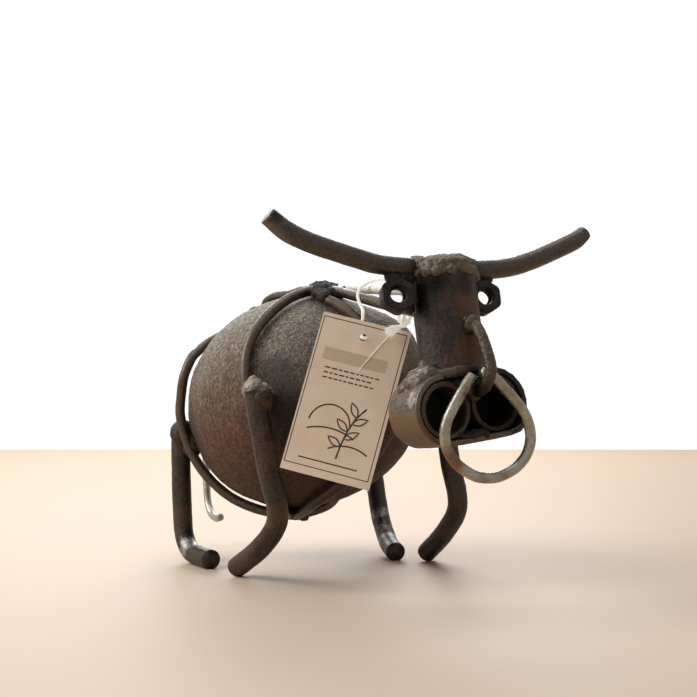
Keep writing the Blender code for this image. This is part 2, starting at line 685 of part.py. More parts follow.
def on_tag(across, up, out):
    """A point given from the tag's middle as its reader sees it: right, up and towards the reader."""
    right, upward, facing = tag_axes()
    return TAG_CENTRE + right * across + upward * up + facing * out


HOLE_UP = TAG_HEIGHT / 2 - TAG_HOLE_BELOW_TOP


def build_tag():
    shape = bmesh.new()
    bmesh.ops.create_cube(shape, size=1.0)
    size = Vector((TAG_WIDTH, TAG_HEIGHT, TAG_THICKNESS))
    for vert in shape.verts:
        vert.co = on_tag(*[vert.co[k] * size[k] for k in range(3)])
    bmesh.ops.recalc_face_normals(shape, faces=shape.faces)
    card = mesh_object("tag", shape)
    cut(card, cylinder("punch", on_tag(0, HOLE_UP, -6), on_tag(0, HOLE_UP, 6), TAG_HOLE / 2, sides=16))
    finish(card, "tag", CARD)


# The loop of string, from the knot through the hole and over the lower strut back to the knot
STRING_KNOT = on_tag(20.3, 49.5, 1.5)
STRING_ROUTE = (
    on_tag(18.6, 48.2, 0.2), on_tag(16.0, 45.6, -1.7), on_tag(8.0, 40.6, -2.2), on_tag(2.4, 37.0, -1.7),
    on_tag(1.0, HOLE_UP, -0.6), on_tag(0.9, HOLE_UP - 0.4, 0.5), on_tag(0.0, HOLE_UP - 0.6, 1.3),
    on_tag(-0.9, HOLE_UP - 0.1, 0.5), on_tag(-1.1, HOLE_UP + 0.2, -0.6), on_tag(-1.7, 38.0, -1.9),
    on_tag(-3.0, 44.0, -2.4), on_tag(-3.8, 49.0, -1.2),
    Vector((-6.2, -71.0, 152.4)), Vector((-4.8, -63.6, 157.6)), Vector((-3.4, -60.2, 162.6)),
    Vector((0.2, -60.0, 167.4)), Vector((4.6, -65.0, 170.2)), Vector((8.6, -74.0, 171.8)),
    Vector((12.8, -84.0, 168.4)), Vector((12.6, -92.0, 160.2)), Vector((9.6, -98.0, 153.2)),
    Vector((4.6, -104.6, 149.2)), Vector((-1.4, -112.0, 146.4)), on_tag(20.8, 51.2, 0.8))


def build_string():
    finish(
        cut(rod("tag_string", list(STRING_ROUTE), STRING_DIAMETER, step=3.0, rounds=2),
            lump("knot_room", STRING_KNOT, (2.5, 2.5, 2.5), rough=0.4, seed=1.0, rounds=2)),
        "tag_string", COTTON)
    finish(lump("string_knot", STRING_KNOT, (2.0, 2.0, 2.0), rough=0.4, seed=1.0, rounds=2), "string_knot", COTTON)


def centre_on_origin():
    """Stands the figure on z = 0 with the middle of its length and width at the origin."""
    corners = [vert.co for made in FIGURE.objects if made.name not in ("tag_string", "string_knot")
               for vert in made.data.vertices]
    low = Vector([min(corner[k] for corner in corners) for k in range(3)])
    high = Vector([max(corner[k] for corner in corners) for k in range(3)])
    shift = Vector((-(low.x + high.x) / 2, -(low.y + high.y) / 2, -low.z))
    for made in FIGURE.objects:
        made.data.transform(Matrix.Translation(shift))
        made.data.update()
    print("moved by", [round(value / MM, 4) for value in shift], "size", [round(v / MM, 2) for v in high - low])
    return shift


build_stone_and_cage()
build_legs()
build_muzzle()
build_face()
build_hook()
build_ring()
build_neck()
build_tag()
build_string()
SHIFT = centre_on_origin()
for made in FIGURE.objects:
    print(made.name, len(made.data.loop_triangles) or sum(len(face.vertices) - 2 for face in made.data.polygons))
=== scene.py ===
"""Looks of the small carabao welded from scrap steel around a river stone.

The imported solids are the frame. Bars and rods are drawn again as fine sweeps along the part's own
routes, the welds get beads and spatter, the stone gets pits, and the card tag gets its print and its
frayed cotton string. Places are in the maker's millimetres, and one function moves them to the frame.
"""

import json
import math

import bpy
from mathutils import Matrix, Vector, noise


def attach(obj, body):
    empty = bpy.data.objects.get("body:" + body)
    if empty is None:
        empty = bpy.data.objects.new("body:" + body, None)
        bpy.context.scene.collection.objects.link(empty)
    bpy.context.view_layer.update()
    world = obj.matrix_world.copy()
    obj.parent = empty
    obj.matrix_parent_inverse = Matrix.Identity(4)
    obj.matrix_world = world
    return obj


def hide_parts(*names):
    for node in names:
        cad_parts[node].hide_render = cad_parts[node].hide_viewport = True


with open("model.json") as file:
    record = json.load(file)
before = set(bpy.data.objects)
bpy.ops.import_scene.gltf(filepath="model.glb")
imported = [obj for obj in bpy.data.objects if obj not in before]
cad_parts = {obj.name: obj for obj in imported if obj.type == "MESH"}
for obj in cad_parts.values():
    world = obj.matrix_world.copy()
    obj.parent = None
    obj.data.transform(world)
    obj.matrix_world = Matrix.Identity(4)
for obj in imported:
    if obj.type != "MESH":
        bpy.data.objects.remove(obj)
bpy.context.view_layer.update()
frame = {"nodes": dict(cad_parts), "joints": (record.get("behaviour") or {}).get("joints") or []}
NODES = frame["nodes"]
SCENE = bpy.context.scene

MM = 0.001
IMAGE = 697  # the photograph's width and height in pixels

# The ring's hinge in the source's millimetres, which says how far the source was moved to the frame
RING_AXIS = Vector((0.0, -181.5, 119.0))
SHIFT = Vector(frame["joints"][0]["pos_m"]) - RING_AXIS * MM

# Camera, as worked out from the photograph
CAMERA_PLACE = Vector((-376.5, -704.1, 122.0))
CAMERA_TURN = math.radians(-30.0)
CAMERA_LENS = 67.15
EYE_LINE = 367.0  # pixel row of the camera's own height

# Table and white room
TABLE_SIZE = (6.4, 2.7, 0.03)
TABLE_EDGE = 1.15  # metres from the figure's middle back to the far edge of the table
ROOM_SEEN = 1.04  # the white that the camera sees behind the figure
ROOM_LIGHT = 0.26  # what the same room gives as light
ROOM_SHINE = 0.30  # more than that where steel mirrors it

# River stone, as in the part's source: an egg with places that stand proud or lie in
STONE_CENTRE = Vector((3.5, 9, 100.8))
STONE_HALF = Vector((69, 88, 65.4))
STONE_TURN = Matrix.Rotation(math.radians(-9), 3, "X")
STONE_SWELLS = (
    (7, Vector((0.60, -0.54, 0.59)), 14),
    (2.2, Vector((-0.42, 0.43, -0.80)), 8),
    (-1.4, Vector((0.72, -0.26, -0.64)), 5))
SHOULDER = Vector((32, -27, 160))  # the left shoulder, how much lower it lies and how far round
SHOULDER_DROP = 4.2
SHOULDER_REACH = 37.0
# Painted shade on the stone behind the right legs: where the stone is darkened, and how far each spot reaches
SHADE_BEHIND_LEGS = (
    (-50, -52, 120, 21), (-43.5, -59, 99, 22), (-40, -60, 78, 22), (-59, 36, 86, 22), (-59, 38, 70, 22))

# Bar stock, in millimetres
HOOP_DIAMETER = 6.0
CHEST_DIAMETER = 6.4
STRUT_DIAMETER = 6.0
TAIL_DIAMETER = 5.0
LEG_DIAMETER = 12.0
HORN_DIAMETER = 10.0
HOOK_DIAMETER = 6.0
RING_DIAMETER = 5.5
OFF_STONE = 0.55  # between a rod and the stone
BAR_STEP = 0.6  # between the rounds of a bar's mesh
BAR_RIM = 0.35  # how far the rim of a bar's end is eased

# Weld knots that gather the rods
TOP_KNOT = Vector((5, -18, 167.4))
BOTTOM_KNOT = Vector((-3, 12, 32.4))
RUMP_KNOT = Vector((-3, 58, 156.5))
# Rows of beads over the top knot: from, to, how many, how large, and a seed
TOP_BEADS = (
    ((2, -25, 168.2), (-9.5, -30.5, 166.8), 6, 3.9, 3),
    ((-10.5, -31.5, 166), (-9.5, -41, 162.5), 6, 3.7, 5),
    ((-3, -34, 165), (7, -36, 167), 6, 3.4, 9))

# Rods laid over the stone. Each has the usual height of its middle over the stone, its start, stations by
# bearing and elevation in degrees from the stone's middle, some with a height of their own, and its end
HOOPS = {
    "front_right": (3.6, TOP_KNOT, (
        (-22, 61.5), (-38, 54.5), (-48.5, 44), (-55, 33), (-58, 24), (-59, 14), (-58.5, 4), (-57, -8, 4),
        (-57, -22, 4.2), (-58.5, -38, 4), (-64, -58)), [BOTTOM_KNOT]),
    "front_left": (3.6, TOP_KNOT, ((62, 74), (92, 62), (86, 44), (73, 27), (63, 13), (58, 4)), []),
    "rear_right": (3.6, RUMP_KNOT, (
        (-150, 50), (-132, 40), (-117, 28, 4.4), (-115, 18, 4.6), (-117, 8, 4.1), (-118, -1, 4.5),
        (-119, -12, 4.2), (-121, -25, 3.9), (-122, -38), (-124, -51), (-126, -64),
        (-131, -76, 3.8)), [BOTTOM_KNOT]),
    "rear_left": (3.6, RUMP_KNOT, (
        (150, 46), (133, 34, 4.2), (124, 20, 4.6), (121, 6, 5), (120, -9, 5), (120, -25, 4.6),
        (120, -41, 4.2), (122, -58), (128, -72)), [BOTTOM_KNOT]),
    "chest": (3.8, TOP_KNOT, (
        (-18, 57, 4.4), (-14, 48), (-9.5, 43), (-5.5, 37), (-0.5, 26.7), (3.5, 14), (6.4, 0), (7.8, -13),
        (7.2, -23.5), (4.8, -31), (2, -37.5), (-4.3, -46.3), (-12.4, -54.2), (-21.3, -62),
        (-32.6, -69.4)), [BOTTOM_KNOT]),
}
SPINE_STATIONS = ((-160, 78, 6.5), (-170, 67, 7), (-172, 56, 5.6), (-174, 42, 3.6), (-175, 28, 4.5))
TAIL_FALL = (
    (-7, 105, 119), (-8.6, 120, 106), (-9.8, 127.5, 86), (-10.2, 128.5, 62),
    (-10.2, 127.5, 40), (-10.4, 125, 29), (-10.8, 118.5, 21.5), (-11.2, 109.5, 19),
    (-11.6, 101.5, 20.3))
LOWER_STRUT = (
    (4, -18, 169), (2.5, -40, 165.8), (1.5, -70, 160.4), (1, -100, 155), (0, -145, 148))
UPPER_STRUT = ((9, -18, 168.6), (9, -50, 167.8), (7.5, -90, 165), (6, -145, 162))

# Legs: the bar's route, then its weld to the hoop and the smaller spur of weld below it
LEGS = {
    "rear_right": (
        ((-58, 59, 82), (-58, 59, 66), (-57.5, 58.5, 40), (-57, 56.5, 18), (-56.5, 47, 7.6), (-56, 32, 5.8),
         (-56, 17, 5.7)),
        ((-57.8, 57.5, 80.5), (7.6, 7.8, 8.4)), ((-53.5, 51, 73), (6, 6.5, 8.5))),
    "front_right": (
        ((-59.5, -50, 109), (-57.5, -53, 90), (-54.5, -57, 65), (-50.5, -60, 45), (-49.3, -56, 33),
         (-51.2, -40, 19), (-53.3, -14, 5)),
        ((-59, -48.5, 109), (6.8, 7, 7.4)), ((-53, -53, 108), (5.4, 3.4, 3))),
    "rear_left": (
        ((73.5, 52, 88), (74, 48, 70), (73.5, 40, 45), (71.5, 30, 24), (68, 17, 12), (63.3, 4, 7.4),
         (58.5, -10, 5.6)),
        ((72, 51.5, 88), (7.4, 7.6, 9)), ((69.5, 47.5, 82), (4.2, 4.2, 6))),
    "front_left": (
        ((65.5, -54, 110), (66.3, -54.5, 90), (67.8, -57, 65), (70.8, -60, 45), (72.3, -56, 33),
         (73.8, -40, 18.5), (76.6, -18, 4.95)),
        ((64.5, -52.5, 111.5), (7.4, 7.6, 7.8)), ((60.5, -52, 106.5), (4, 3.4, 4))),
}
# Darker weld metal under the pale heap of the front right leg: beads by centre, radii and turn
UNDER_WELD = (
    ((-54.6, -53.6, 103.5), (5.4, 4.6, 7.4), (0.1, 0.1, 0)),
    ((-56.5, -52.5, 105.5), (6.6, 6.4, 6.2), (0, 0.2, 0)))

# Head
PIPE_DIAMETER = 33.7
PIPE_TOP = Vector((-2, -150.4, 172.6))
PIPE_BOTTOM = Vector((-1.5, -161.6, 116))
PIPE_ALONG = (PIPE_TOP - PIPE_BOTTOM).normalized()
PIPE_SIDE = Vector((1, 0, 0))
PIPE_FRONT = PIPE_ALONG.cross(PIPE_SIDE)
CROWN_DROPS = 30  # drops of slag round the pipe's top
PIPE_DROPS = 40  # beads round its lower end
HORNS = {
    "right": (
        (-14, -150.2, 172), (-38, -150.2, 173), (-50, -150, 175.3), (-61, -149.5, 178),
        (-72, -149, 180.8), (-82, -148, 184), (-90, -147, 187.8), (-99, -146, 194)),
    "left": (
        (14, -150.2, 172), (36, -150.2, 173.9), (51, -150, 177.2), (65, -149, 182),
        (79, -148, 187.4), (89, -147, 191.6), (95.6, -146, 194.8)),
}
# How far the slanting cut at a horn's tip lies out and up from the route's end, and its lean
HORN_CUTS = {"right": (-3.5, 0.7, 0.78), "left": (2, 2.2, -0.9)}
EYES = {"right": Vector((-30.5, -153.5, 157.4)), "left": Vector((23.8, -151.5, 158))}
HOOK_ROUTE = (
    (0.5, -168, 144.5), (0.5, -176, 143), (0.5, -181.5, 138), (0.5, -186.4, 130),
    (0.3, -190.2, 121), (0, -187.5, 114), (0, -181.5, 110.4), (0, -174, 109.5))
HOOK_WELD = (
    ((0.2, -174.6, 143.2), (4.6, 3.8, 5.2), (0.2, 0, 0)),
    ((0, -177, 109.2), (4.2, 3, 4.4), (0, 0, 0)))
MUZZLE_CENTRE = Vector((0.6, -161.2, 101.4))
MUZZLE_TURN = Matrix.Rotation(math.radians(-6.5), 3, "Y") @ Matrix.Rotation(math.radians(-5), 3, "X")
# Across and up from the ring's hinge
RING_BOW = (
    (-4.6, -1.2), (-7.4, -4.6), (-11.6, -10.4), (-15.8, -16.6), (-19.4, -23), (-20.9, -29.5),
    (-19.8, -36), (-16, -42), (-10.4, -46.8), (-3, -50.6), (5.4, -52), (13.8, -51),
    (22.4, -47.2), (28.6, -41.4), (31.3, -34.4), (30.6, -27.2), (27, -19.6), (20.6, -12.6),
    (14.8, -7.4), (9.6, -3), (5.6, -0.5), (3.4, 0), (0.6, 0))

# Card tag and its string
TAG_WIDTH = 50.0
TAG_HEIGHT = 90.0
TAG_THICKNESS = 0.8
TAG_CENTRE = Vector((-23.2, -89.6, 104.2))
TAG_FACING = Vector((-0.547, -0.809, 0.216))
TAG_DOWN = Vector((-0.323, -0.035, -0.946))
HOLE_UP = 36.0  # from the tag's middle
RICE_STALK = ((3, -33), (3.8, -25), (5.2, -17), (8, -9), (12.4, -2.5))
RICE_LEAVES = (
    ((3.7, -26), 152), ((4.4, -21.5), 36), ((5.2, -17), 142), ((6.8, -12.5), 28), ((8.4, -8.5), 122))
PLY_DIAMETER = 1.0
PLY_TURN = 4.4  # mm of string for one turn of its plies
PLIES_ACROSS = 2.0  # over the three plies together
FIBRES = 130  # in the frayed ends


def at(*place):
    """A point of the frame, in metres, from the maker's millimetres."""
    return Vector(place if len(place) > 1 else place[0]) * MM + SHIFT


def tag_axes():
    """The tag's right and up as its reader sees them, and the way that it faces."""
    facing = TAG_FACING.normalized()
    down = (TAG_DOWN - facing * TAG_DOWN.dot(facing)).normalized()
    return facing.cross(down), -down, facing


def on_tag(across, up, out):
    """A point given from the tag's middle as its reader sees it: right, up and towards the reader."""
    right, upward, facing = tag_axes()
    return TAG_CENTRE + right * across + upward * up + facing * out


STRING_KNOT = on_tag(20.3, 49.5, 1.5)
# Round from the knot behind the tag and through its hole, then free in the air and back to the knot
STRING_ROUTE = (
    *[on_tag(*place) for place in (
        (18.6, 48.2, 0.2), (16, 45.6, -1.7), (8, 40.6, -2.2), (2.4, 37, -1.7), (1, HOLE_UP, -0.6),
        (0.9, HOLE_UP - 0.4, 0.5), (0, HOLE_UP - 0.6, 1.3), (-0.9, HOLE_UP - 0.1, 0.5),
        (-1.1, HOLE_UP + 0.2, -0.6), (-1.7, 38, -1.9), (-3, 44, -2.4), (-3.8, 49, -1.2))],
    (-5.2, -76.5, 154.6), (-3.2, -69.5, 158.8), (-1.4, -65, 163.4), (1.2, -63.6, 167.4),
    (4.8, -66.5, 170.2), (8.6, -74, 171.8), (12.8, -84, 168.4), (12.6, -92, 160.2),
    (9.6, -98, 153.2), (4.6, -104.6, 149.2), (-1.4, -112, 146.4), on_tag(20.8, 51.2, 0.8))
LOOSE_THREAD = [on_tag(*place) for place in (
    (17.5, 46.5, 1.1), (14.5, 41.5, 0.8), (10.9, 35.4, 0.7), (6.8, 26.8, 0.7), (2.1, 16.5, 0.7))]


# Camera


def set_camera():
    """The photograph's view: the figure's right front, at the height of its back."""
    lens = bpy.data.cameras.new("camera")
    lens.lens = CAMERA_LENS
    lens.sensor_width = 36.0
    lens.shift_y = (EYE_LINE - IMAGE / 2) / IMAGE
    lens.clip_start = 0.05
    lens.clip_end = 20.0
    camera = bpy.data.objects.new("camera", lens)
    camera.location = at(CAMERA_PLACE)
    camera.rotation_euler = (math.radians(90.0), 0.0, CAMERA_TURN)
    SCENE.collection.objects.link(camera)
    SCENE.camera = camera


set_camera()


# Routes


def spline_through(points, step):
    """Points about a step apart on one smooth curve through the given points."""
    points = [Vector(point) for point in points]
    ends = [points[0] * 2 - points[1], *points, points[-1] * 2 - points[-2]]
    route = []
    for before, start, end, after in zip(ends, ends[1:], ends[2:], ends[3:]):
        pieces = max(1, round((end - start).length / step))
        for i in range(pieces):
            t = i / pieces
            bend = (2 * before - 5 * start + 4 * end - after) * t * t
            twist = (3 * start - 3 * end + after - before) * t ** 3
            route.append((2 * start + (end - before) * t + bend + twist) / 2)
    route.append(points[-1])
    return route


def swell(out):
    """How far the stone stands proud of a plain egg in a direction from its middle."""
    out = out.normalized()
    return sum(height * max(0.0, out.dot(toward)) ** narrow for height, toward, narrow in STONE_SWELLS)


def on_stone(bearing, elevation, height):
    """A point over the stone. Bearing 0 is straight ahead, and the figure's left is positive."""
    b, e = math.radians(bearing), math.radians(elevation)
    out = Vector((math.cos(e) * math.sin(b), -math.cos(e) * math.cos(b), math.sin(e)))
    place = Vector([out[k] * (STONE_HALF[k] + swell(out)) for k in range(3)])
    normal = Vector([out[k] / STONE_HALF[k] for k in range(3)]).normalized()
    return STONE_CENTRE + STONE_TURN @ (place + normal * height)


def lift_off(point, distance):
    """Moves a point out until it is at least this far from the stone's surface."""
    away = STONE_TURN.transposed() @ (point - STONE_CENTRE)
    share = [away[k] / STONE_HALF[k] for k in range(3)]
    level = math.sqrt(sum(part ** 2 for part in share))
    slope = Vector([away[k] / STONE_HALF[k] ** 2 for k in range(3)])
    height = (level - 1.0) * level / slope.length - swell(Vector(share))
    if height >= distance:
        return point
    return point + STONE_TURN @ slope.normalized() * (distance - height)


def laid(points, diameter):
    """A route that stays just off the stone."""
    return [lift_off(point, diameter / 2 + OFF_STONE) for point in spline_through(points, 2.0 * diameter)]


# Handling of pieces


def pick(*objects):
    """Selects these objects alone, or none, the last of them active."""
    bpy.ops.object.select_all(action="DESELECT")
    for chosen in objects:
        chosen.select_set(True)
        bpy.context.view_layer.objects.active = chosen


def edit_mesh(kind, chosen, tool, **settings):
    """Uses one tool on the active mesh: on all of it, or on the vertices, edges or faces that are chosen."""
    bpy.ops.object.mode_set(mode="EDIT")
    bpy.ops.mesh.select_mode(type=kind)
    bpy.ops.mesh.select_all(action="DESELECT" if chosen else "SELECT")
    if chosen:
        bpy.ops.object.mode_set(mode="OBJECT")
        mesh = bpy.context.object.data
        for part in {"VERT": mesh.vertices, "EDGE": mesh.edges, "FACE": mesh.polygons}[kind]:
            part.select = chosen(mesh, part)
        bpy.ops.object.mode_set(mode="EDIT")
    tool(**settings)
    bpy.ops.object.mode_set(mode="OBJECT")


def copy_of(node, name):
    """A copy of a solid's mesh as a piece of its own, its loose triangles merged."""
    piece = bpy.data.objects.new(name, NODES[node].data.copy())
    SCENE.collection.objects.link(piece)
    pick(piece)
    edit_mesh("VERT", None, bpy.ops.mesh.remove_doubles, threshold=0.01 * MM)
    return piece


def apply_modifiers(piece):
    """Turns a piece's modifiers into its shape."""
    pick(piece)
    for step in list(piece.modifiers):
        bpy.ops.object.modifier_apply(modifier=step.name)


def settle():
    """Puts the active object at the origin, unturned and unscaled, with its shape left where it is."""
    bpy.ops.object.transform_apply(location=True, rotation=True, scale=True)


def block(name, place, size):
    """A plain box, in metres."""
    pick()
    bpy.ops.mesh.primitive_cube_add(size=1.0, location=place)
    piece = bpy.context.object
    piece.name = name
    piece.scale = size
    settle()
    return piece


def joined(name, *pieces):
    """One piece made of several, with its object at the origin."""
    pick(*pieces)
    bpy.ops.object.join()
    piece = bpy.context.object
    piece.name = name
    settle()
    return piece


def fit_to(piece, look, slot, *nodes, body="figure"):
    """Gives a finished piece its material, attaches it to what it moves with, and hides the solids that it
    stands for.
    """
    piece.data.materials.clear()
    piece.data.materials.append(look)
    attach(piece, body)
    if nodes:
        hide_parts(*nodes)


def dent_texture(name, size, depth=2):
    """A procedural field for real dents, its size in millimetres."""
    field = bpy.data.textures.new(name, "CLOUDS")
    field.noise_scale = size * MM
    field.noise_depth = depth
    return field


def dent(piece, *dents):
    """Pushes a piece's skin in and out by fields, each with its depth in millimetres."""
    for field, depth in dents:
        step = piece.modifiers.new("dents", "DISPLACE")
        step.texture = field
        step.texture_coords = "LOCAL"
        step.strength = depth * MM
        step.mid_level = 0.5
    apply_modifiers(piece)
    bpy.ops.object.shade_smooth()


def run_together(piece, voxel, ease):
    """Makes one even skin of overlapping shapes and eases its corners."""
    skin = piece.modifiers.new("even skin", "REMESH")
    skin.mode = "VOXEL"
    skin.voxel_size = voxel * MM
    soft = piece.modifiers.new("eased corners", "SMOOTH")
    soft.factor = 0.5
    soft.iterations = ease
    apply_modifiers(piece)


def redone(node, name, voxel, ease, dents, look, slot):
    """A solid's own shape with an even skin and dents, which then stands for the solid."""
    piece = copy_of(node, name)
    run_together(piece, voxel, ease)
    dent(piece, *dents)
    fit_to(piece, look, slot, node)


HAMMERED = dent_texture("hammered", 8.0)
SCALE_GRIT = dent_texture("scale grit", 1.5, 3)
BEAD = dent_texture("weld bead", 3.0)
SPATTER = dent_texture("weld spatter", 1.2, 3)
BAR_DENTS = ((HAMMERED, 0.40), (SCALE_GRIT, 0.20))
ROD_DENTS = ((HAMMERED, 0.30), (SCALE_GRIT, 0.16))
WELD_DENTS = ((BEAD, 1.5), (SPATTER, 0.9))
PLATE_DENTS = ((HAMMERED, 0.5), (SCALE_GRIT, 0.20))


# Materials


def linear(colour):
    """An sRGB hex colour as linear light."""
    parts = [int(colour[i:i + 2], 16) / 255 for i in (1, 3, 5)]
    return (*[part / 12.92 if part <= 0.04045 else ((part + 0.055) / 1.055) ** 2.4 for part in parts], 1.0)


def feed(node, inputs):
    """Sets a node's inputs, by name or in order, to values, sockets or other nodes' first outputs in use."""
    for name, value in (inputs.items() if isinstance(inputs, dict) else enumerate(inputs)):
        if isinstance(value, bpy.types.Node):
            value = next(output for output in value.outputs if output.enabled)
        if isinstance(value, bpy.types.NodeSocket):
            node.id_data.links.new(value, node.inputs[name])
        else:
            node.inputs[name].default_value = value


def add(tree, kind, settings=None, inputs=()):
    """A shader node with its settings and its inputs.

    In order, a map's are its value, old span and new span, and a noise's its place, a fourth place,
    scale, detail and roughness.
    """
    node = tree.nodes.new("ShaderNode" + kind)
    for name, value in (settings or {}).items():
        if name == "stops":
            band = node.color_ramp.elements
            while len(band) < len(value):
                band.new(0.5)
            for stop, (place, colour) in zip(band, value):
                stop.position = place
                stop.color = linear(colour)
        else:
            setattr(node, name, value)
    feed(node, inputs)
    return node


def new_material(name):
    """An empty material, its node tree, its shader and the place that its patterns read."""
    made = bpy.data.materials.new(name)
    made.use_nodes = True
    tree = made.node_tree
    return made, tree, tree.nodes["Principled BSDF"], add(tree, "TexCoord").outputs["Object"]


# Settings of nodes used all over; a Mix node keeps its two colours under these numbers
SMOOTH = {"interpolation_type": "SMOOTHSTEP"}
COLOURS = {"data_type": "RGBA"}
DISTANCE = {"operation": "DISTANCE"}
SCALE = {"operation": "SCALE"}
MULTIPLY_ADD = {"operation": "MULTIPLY_ADD"}
TINT_A, TINT_B = 6, 7


def with_painted_shade(tree, tone, place, spots, least):
    """A tone taken down around places as painted shade, each place with its reach in millimetres."""
    for *spot, reach in spots:
        away = add(tree, "VectorMath", DISTANCE, (place, at(*spot)))
        left = add(tree, "MapRange", SMOOTH, (away, reach * MM * 0.25, reach * MM, least, 1.0))
        tone = add(tree, "VectorMath", SCALE, {0: tone, "Scale": left})
    return tone


def waxed_steel(name, scale, rust, bare_and_highlight, rusted, sheen, grit=0.10, metal=0.85, browned=(), rubbed_and_highlit=(),
                painted_shade=()):
    """Old mild steel with its mill scale, browned by rust, rubbed here and there, and sealed with wax.

    To the eye it is nearly black with a soft gloss, brown and duller where the rust sits, and grey and bright
    where it is worn to the metal, with painted highlight at some of these places. rusted is a rough share of
    the surface. The three lists of places, in millimetres with how far each of them reaches, give rust, then
    worn metal and painted highlight, then painted shade.
    """
    made, tree, shader, place = new_material(name)
    patches, flecks = [add(tree, "TexNoise", None, (place, 0.0, 1 / (size * MM), detail, rough))
                       for size, detail, rough in ((10.0, 5.0, 0.62), (1.5, 4.0, 0.66))]
    uneven = add(tree, "Math", MULTIPLY_ADD, (flecks, 0.5, patches))
    shares = []
    for spots in (browned, rubbed_and_highlit):
        share = uneven
        for *spot, reach in spots:
            away = add(tree, "VectorMath", DISTANCE, (place, at(*spot)))
            near = add(tree, "MapRange", SMOOTH, (away, 0.0, reach * MM, 0.62, 0.0))
            raised = add(tree, "Math", {"operation": "ADD"}, (uneven, near))
            share = add(tree, "Math", {"operation": "MAXIMUM"}, (share, raised))
        shares.append(share)
    edge = 0.98 - 0.46 * rusted
    brown = add(tree, "MapRange", SMOOTH, (shares[0], edge - 0.22, edge + 0.22))
    # bright places: worn metal, and at the listed places also painted highlight
    bright = add(tree, "MapRange", SMOOTH, (shares[1], 1.02, 1.26))
    tone = add(tree, "Mix", COLOURS, {0: brown, TINT_A: linear(scale), TINT_B: linear(rust)})
    tone = add(tree, "Mix", COLOURS, {0: bright, TINT_A: tone, TINT_B: linear(bare_and_highlight)})
    shade = add(tree, "MapRange", SMOOTH, (flecks, 0.28, 0.72, 0.72, 1.22))
    tone = add(tree, "VectorMath", SCALE, {0: tone, "Scale": shade})
    # painted shade round the listed places
    tone = with_painted_shade(tree, tone, place, painted_shade, 0.22)
    gloss = add(tree, "MapRange", SMOOTH, (flecks, 0.3, 0.7, *sheen))
    gloss = add(tree, "Math", MULTIPLY_ADD, (brown, 0.16, gloss))
    gloss = add(tree, "Math", MULTIPLY_ADD, (bright, -0.10, gloss))
    whole = add(tree, "MapRange", None, (brown, 0.0, 1.0, metal, 0.30))
    fine = add(tree, "Bump", None, {"Height": flecks, "Strength": 0.6, "Distance": grit * MM})
    broad = add(tree, "Bump", None,
                {"Height": patches, "Strength": 0.35, "Distance": 0.5 * MM, "Normal": fine})
    feed(shader, {"Base Color": tone, "Roughness": gloss, "Metallic": whole, "Normal": broad})
    return made


def river_stone():
    """A dense river stone, water worn and full of small pits, with iron stain and a thin coat of wax.

    To the eye it is greyer and lighter upwards and towards the rear, partly its own colour and partly painted
    light from above and behind:
    the top grey, the flank ochre and the belly dark yellow-brown. All of it is speckled, dark where the pits
    are and pale on the ridges between them. The chest is darkest, from painted shade.
    """
    made, tree, shader, place = new_material("water worn river stone")
    turned = add(tree, "Mapping", None, {0: place, "Rotation": (0.5, 0.3, 0.6), "Scale": (1.0, 1.0, 0.62)})
    clouds, blotches, speckle, grit = [
        add(tree, "TexNoise", None, (where, 0.0, 1 / (size * MM), detail, rough))
        for where, size, detail, rough in (
            (place, 38.0, 3.0, 0.55), (place, 10.0, 5.0, 0.65),
            (turned, 1.05, 3.0, 0.68), (turned, 0.6, 2.0, 0.6))]
    pits = add(tree, "TexVoronoi", {"feature": "SMOOTH_F1"},
               {0: turned, "Scale": 1 / (2.6 * MM), "Smoothness": 0.4, "Randomness": 1.0})
    split = add(tree, "SeparateXYZ", None, (place,)).outputs
    # high places and the rear are greyer and lighter than the belly and the chest: partly the stone's own
    # colour, partly painted light from above and behind
    height = add(tree, "Math", {"operation": "MULTIPLY"}, (split["Z"], 1 / (100 * MM)))
    for value, weight in ((clouds, 0.55), (blotches, 0.50), (split["Y"], 2.0)):
        height = add(tree, "Math", MULTIPLY_ADD, (value, weight, height))
    along = add(tree, "MapRange", None, (height, 0.8, 2.4))
    stops = (
        (0.10, "#4a2b0e"), (0.38, "#5c391a"), (0.54, "#6a523a"), (0.64, "#7b6c5b"), (0.84, "#8f8577"))
    tone = add(tree, "ValToRGB", {"stops": stops}, (along,))
    # speckle and pits vary the tone, and towards the front the chest is darkened as painted shade
    for value, *spans in ((speckle, 0.40, 0.60, 0.30, 1.50), (pits, 0.28, 0.62, 1.10, 0.70),
                          (split["Y"], -34 * MM, 8 * MM, 0.62, 1.0)):
        share = add(tree, "MapRange", SMOOTH, (value, *spans))
        tone = add(tree, "VectorMath", SCALE, {0: tone, "Scale": share})
    # painted shade on the stone behind the right legs
    tone = with_painted_shade(tree, tone, place, SHADE_BEHIND_LEGS, 0.34)
    gloss = add(tree, "MapRange", None, (grit, 0.3, 0.7, 0.58, 0.86))
    low = add(tree, "Bump", None, {"Height": grit, "Strength": 0.5, "Distance": 0.22 * MM})
    high = add(tree, "Bump", None,
               {"Height": speckle, "Strength": 0.9, "Distance": 0.9 * MM, "Normal": low})
    feed(shader, {"Base Color": tone, "Roughness": gloss, "Specular IOR Level": 0.55, "Normal": high})
    return made


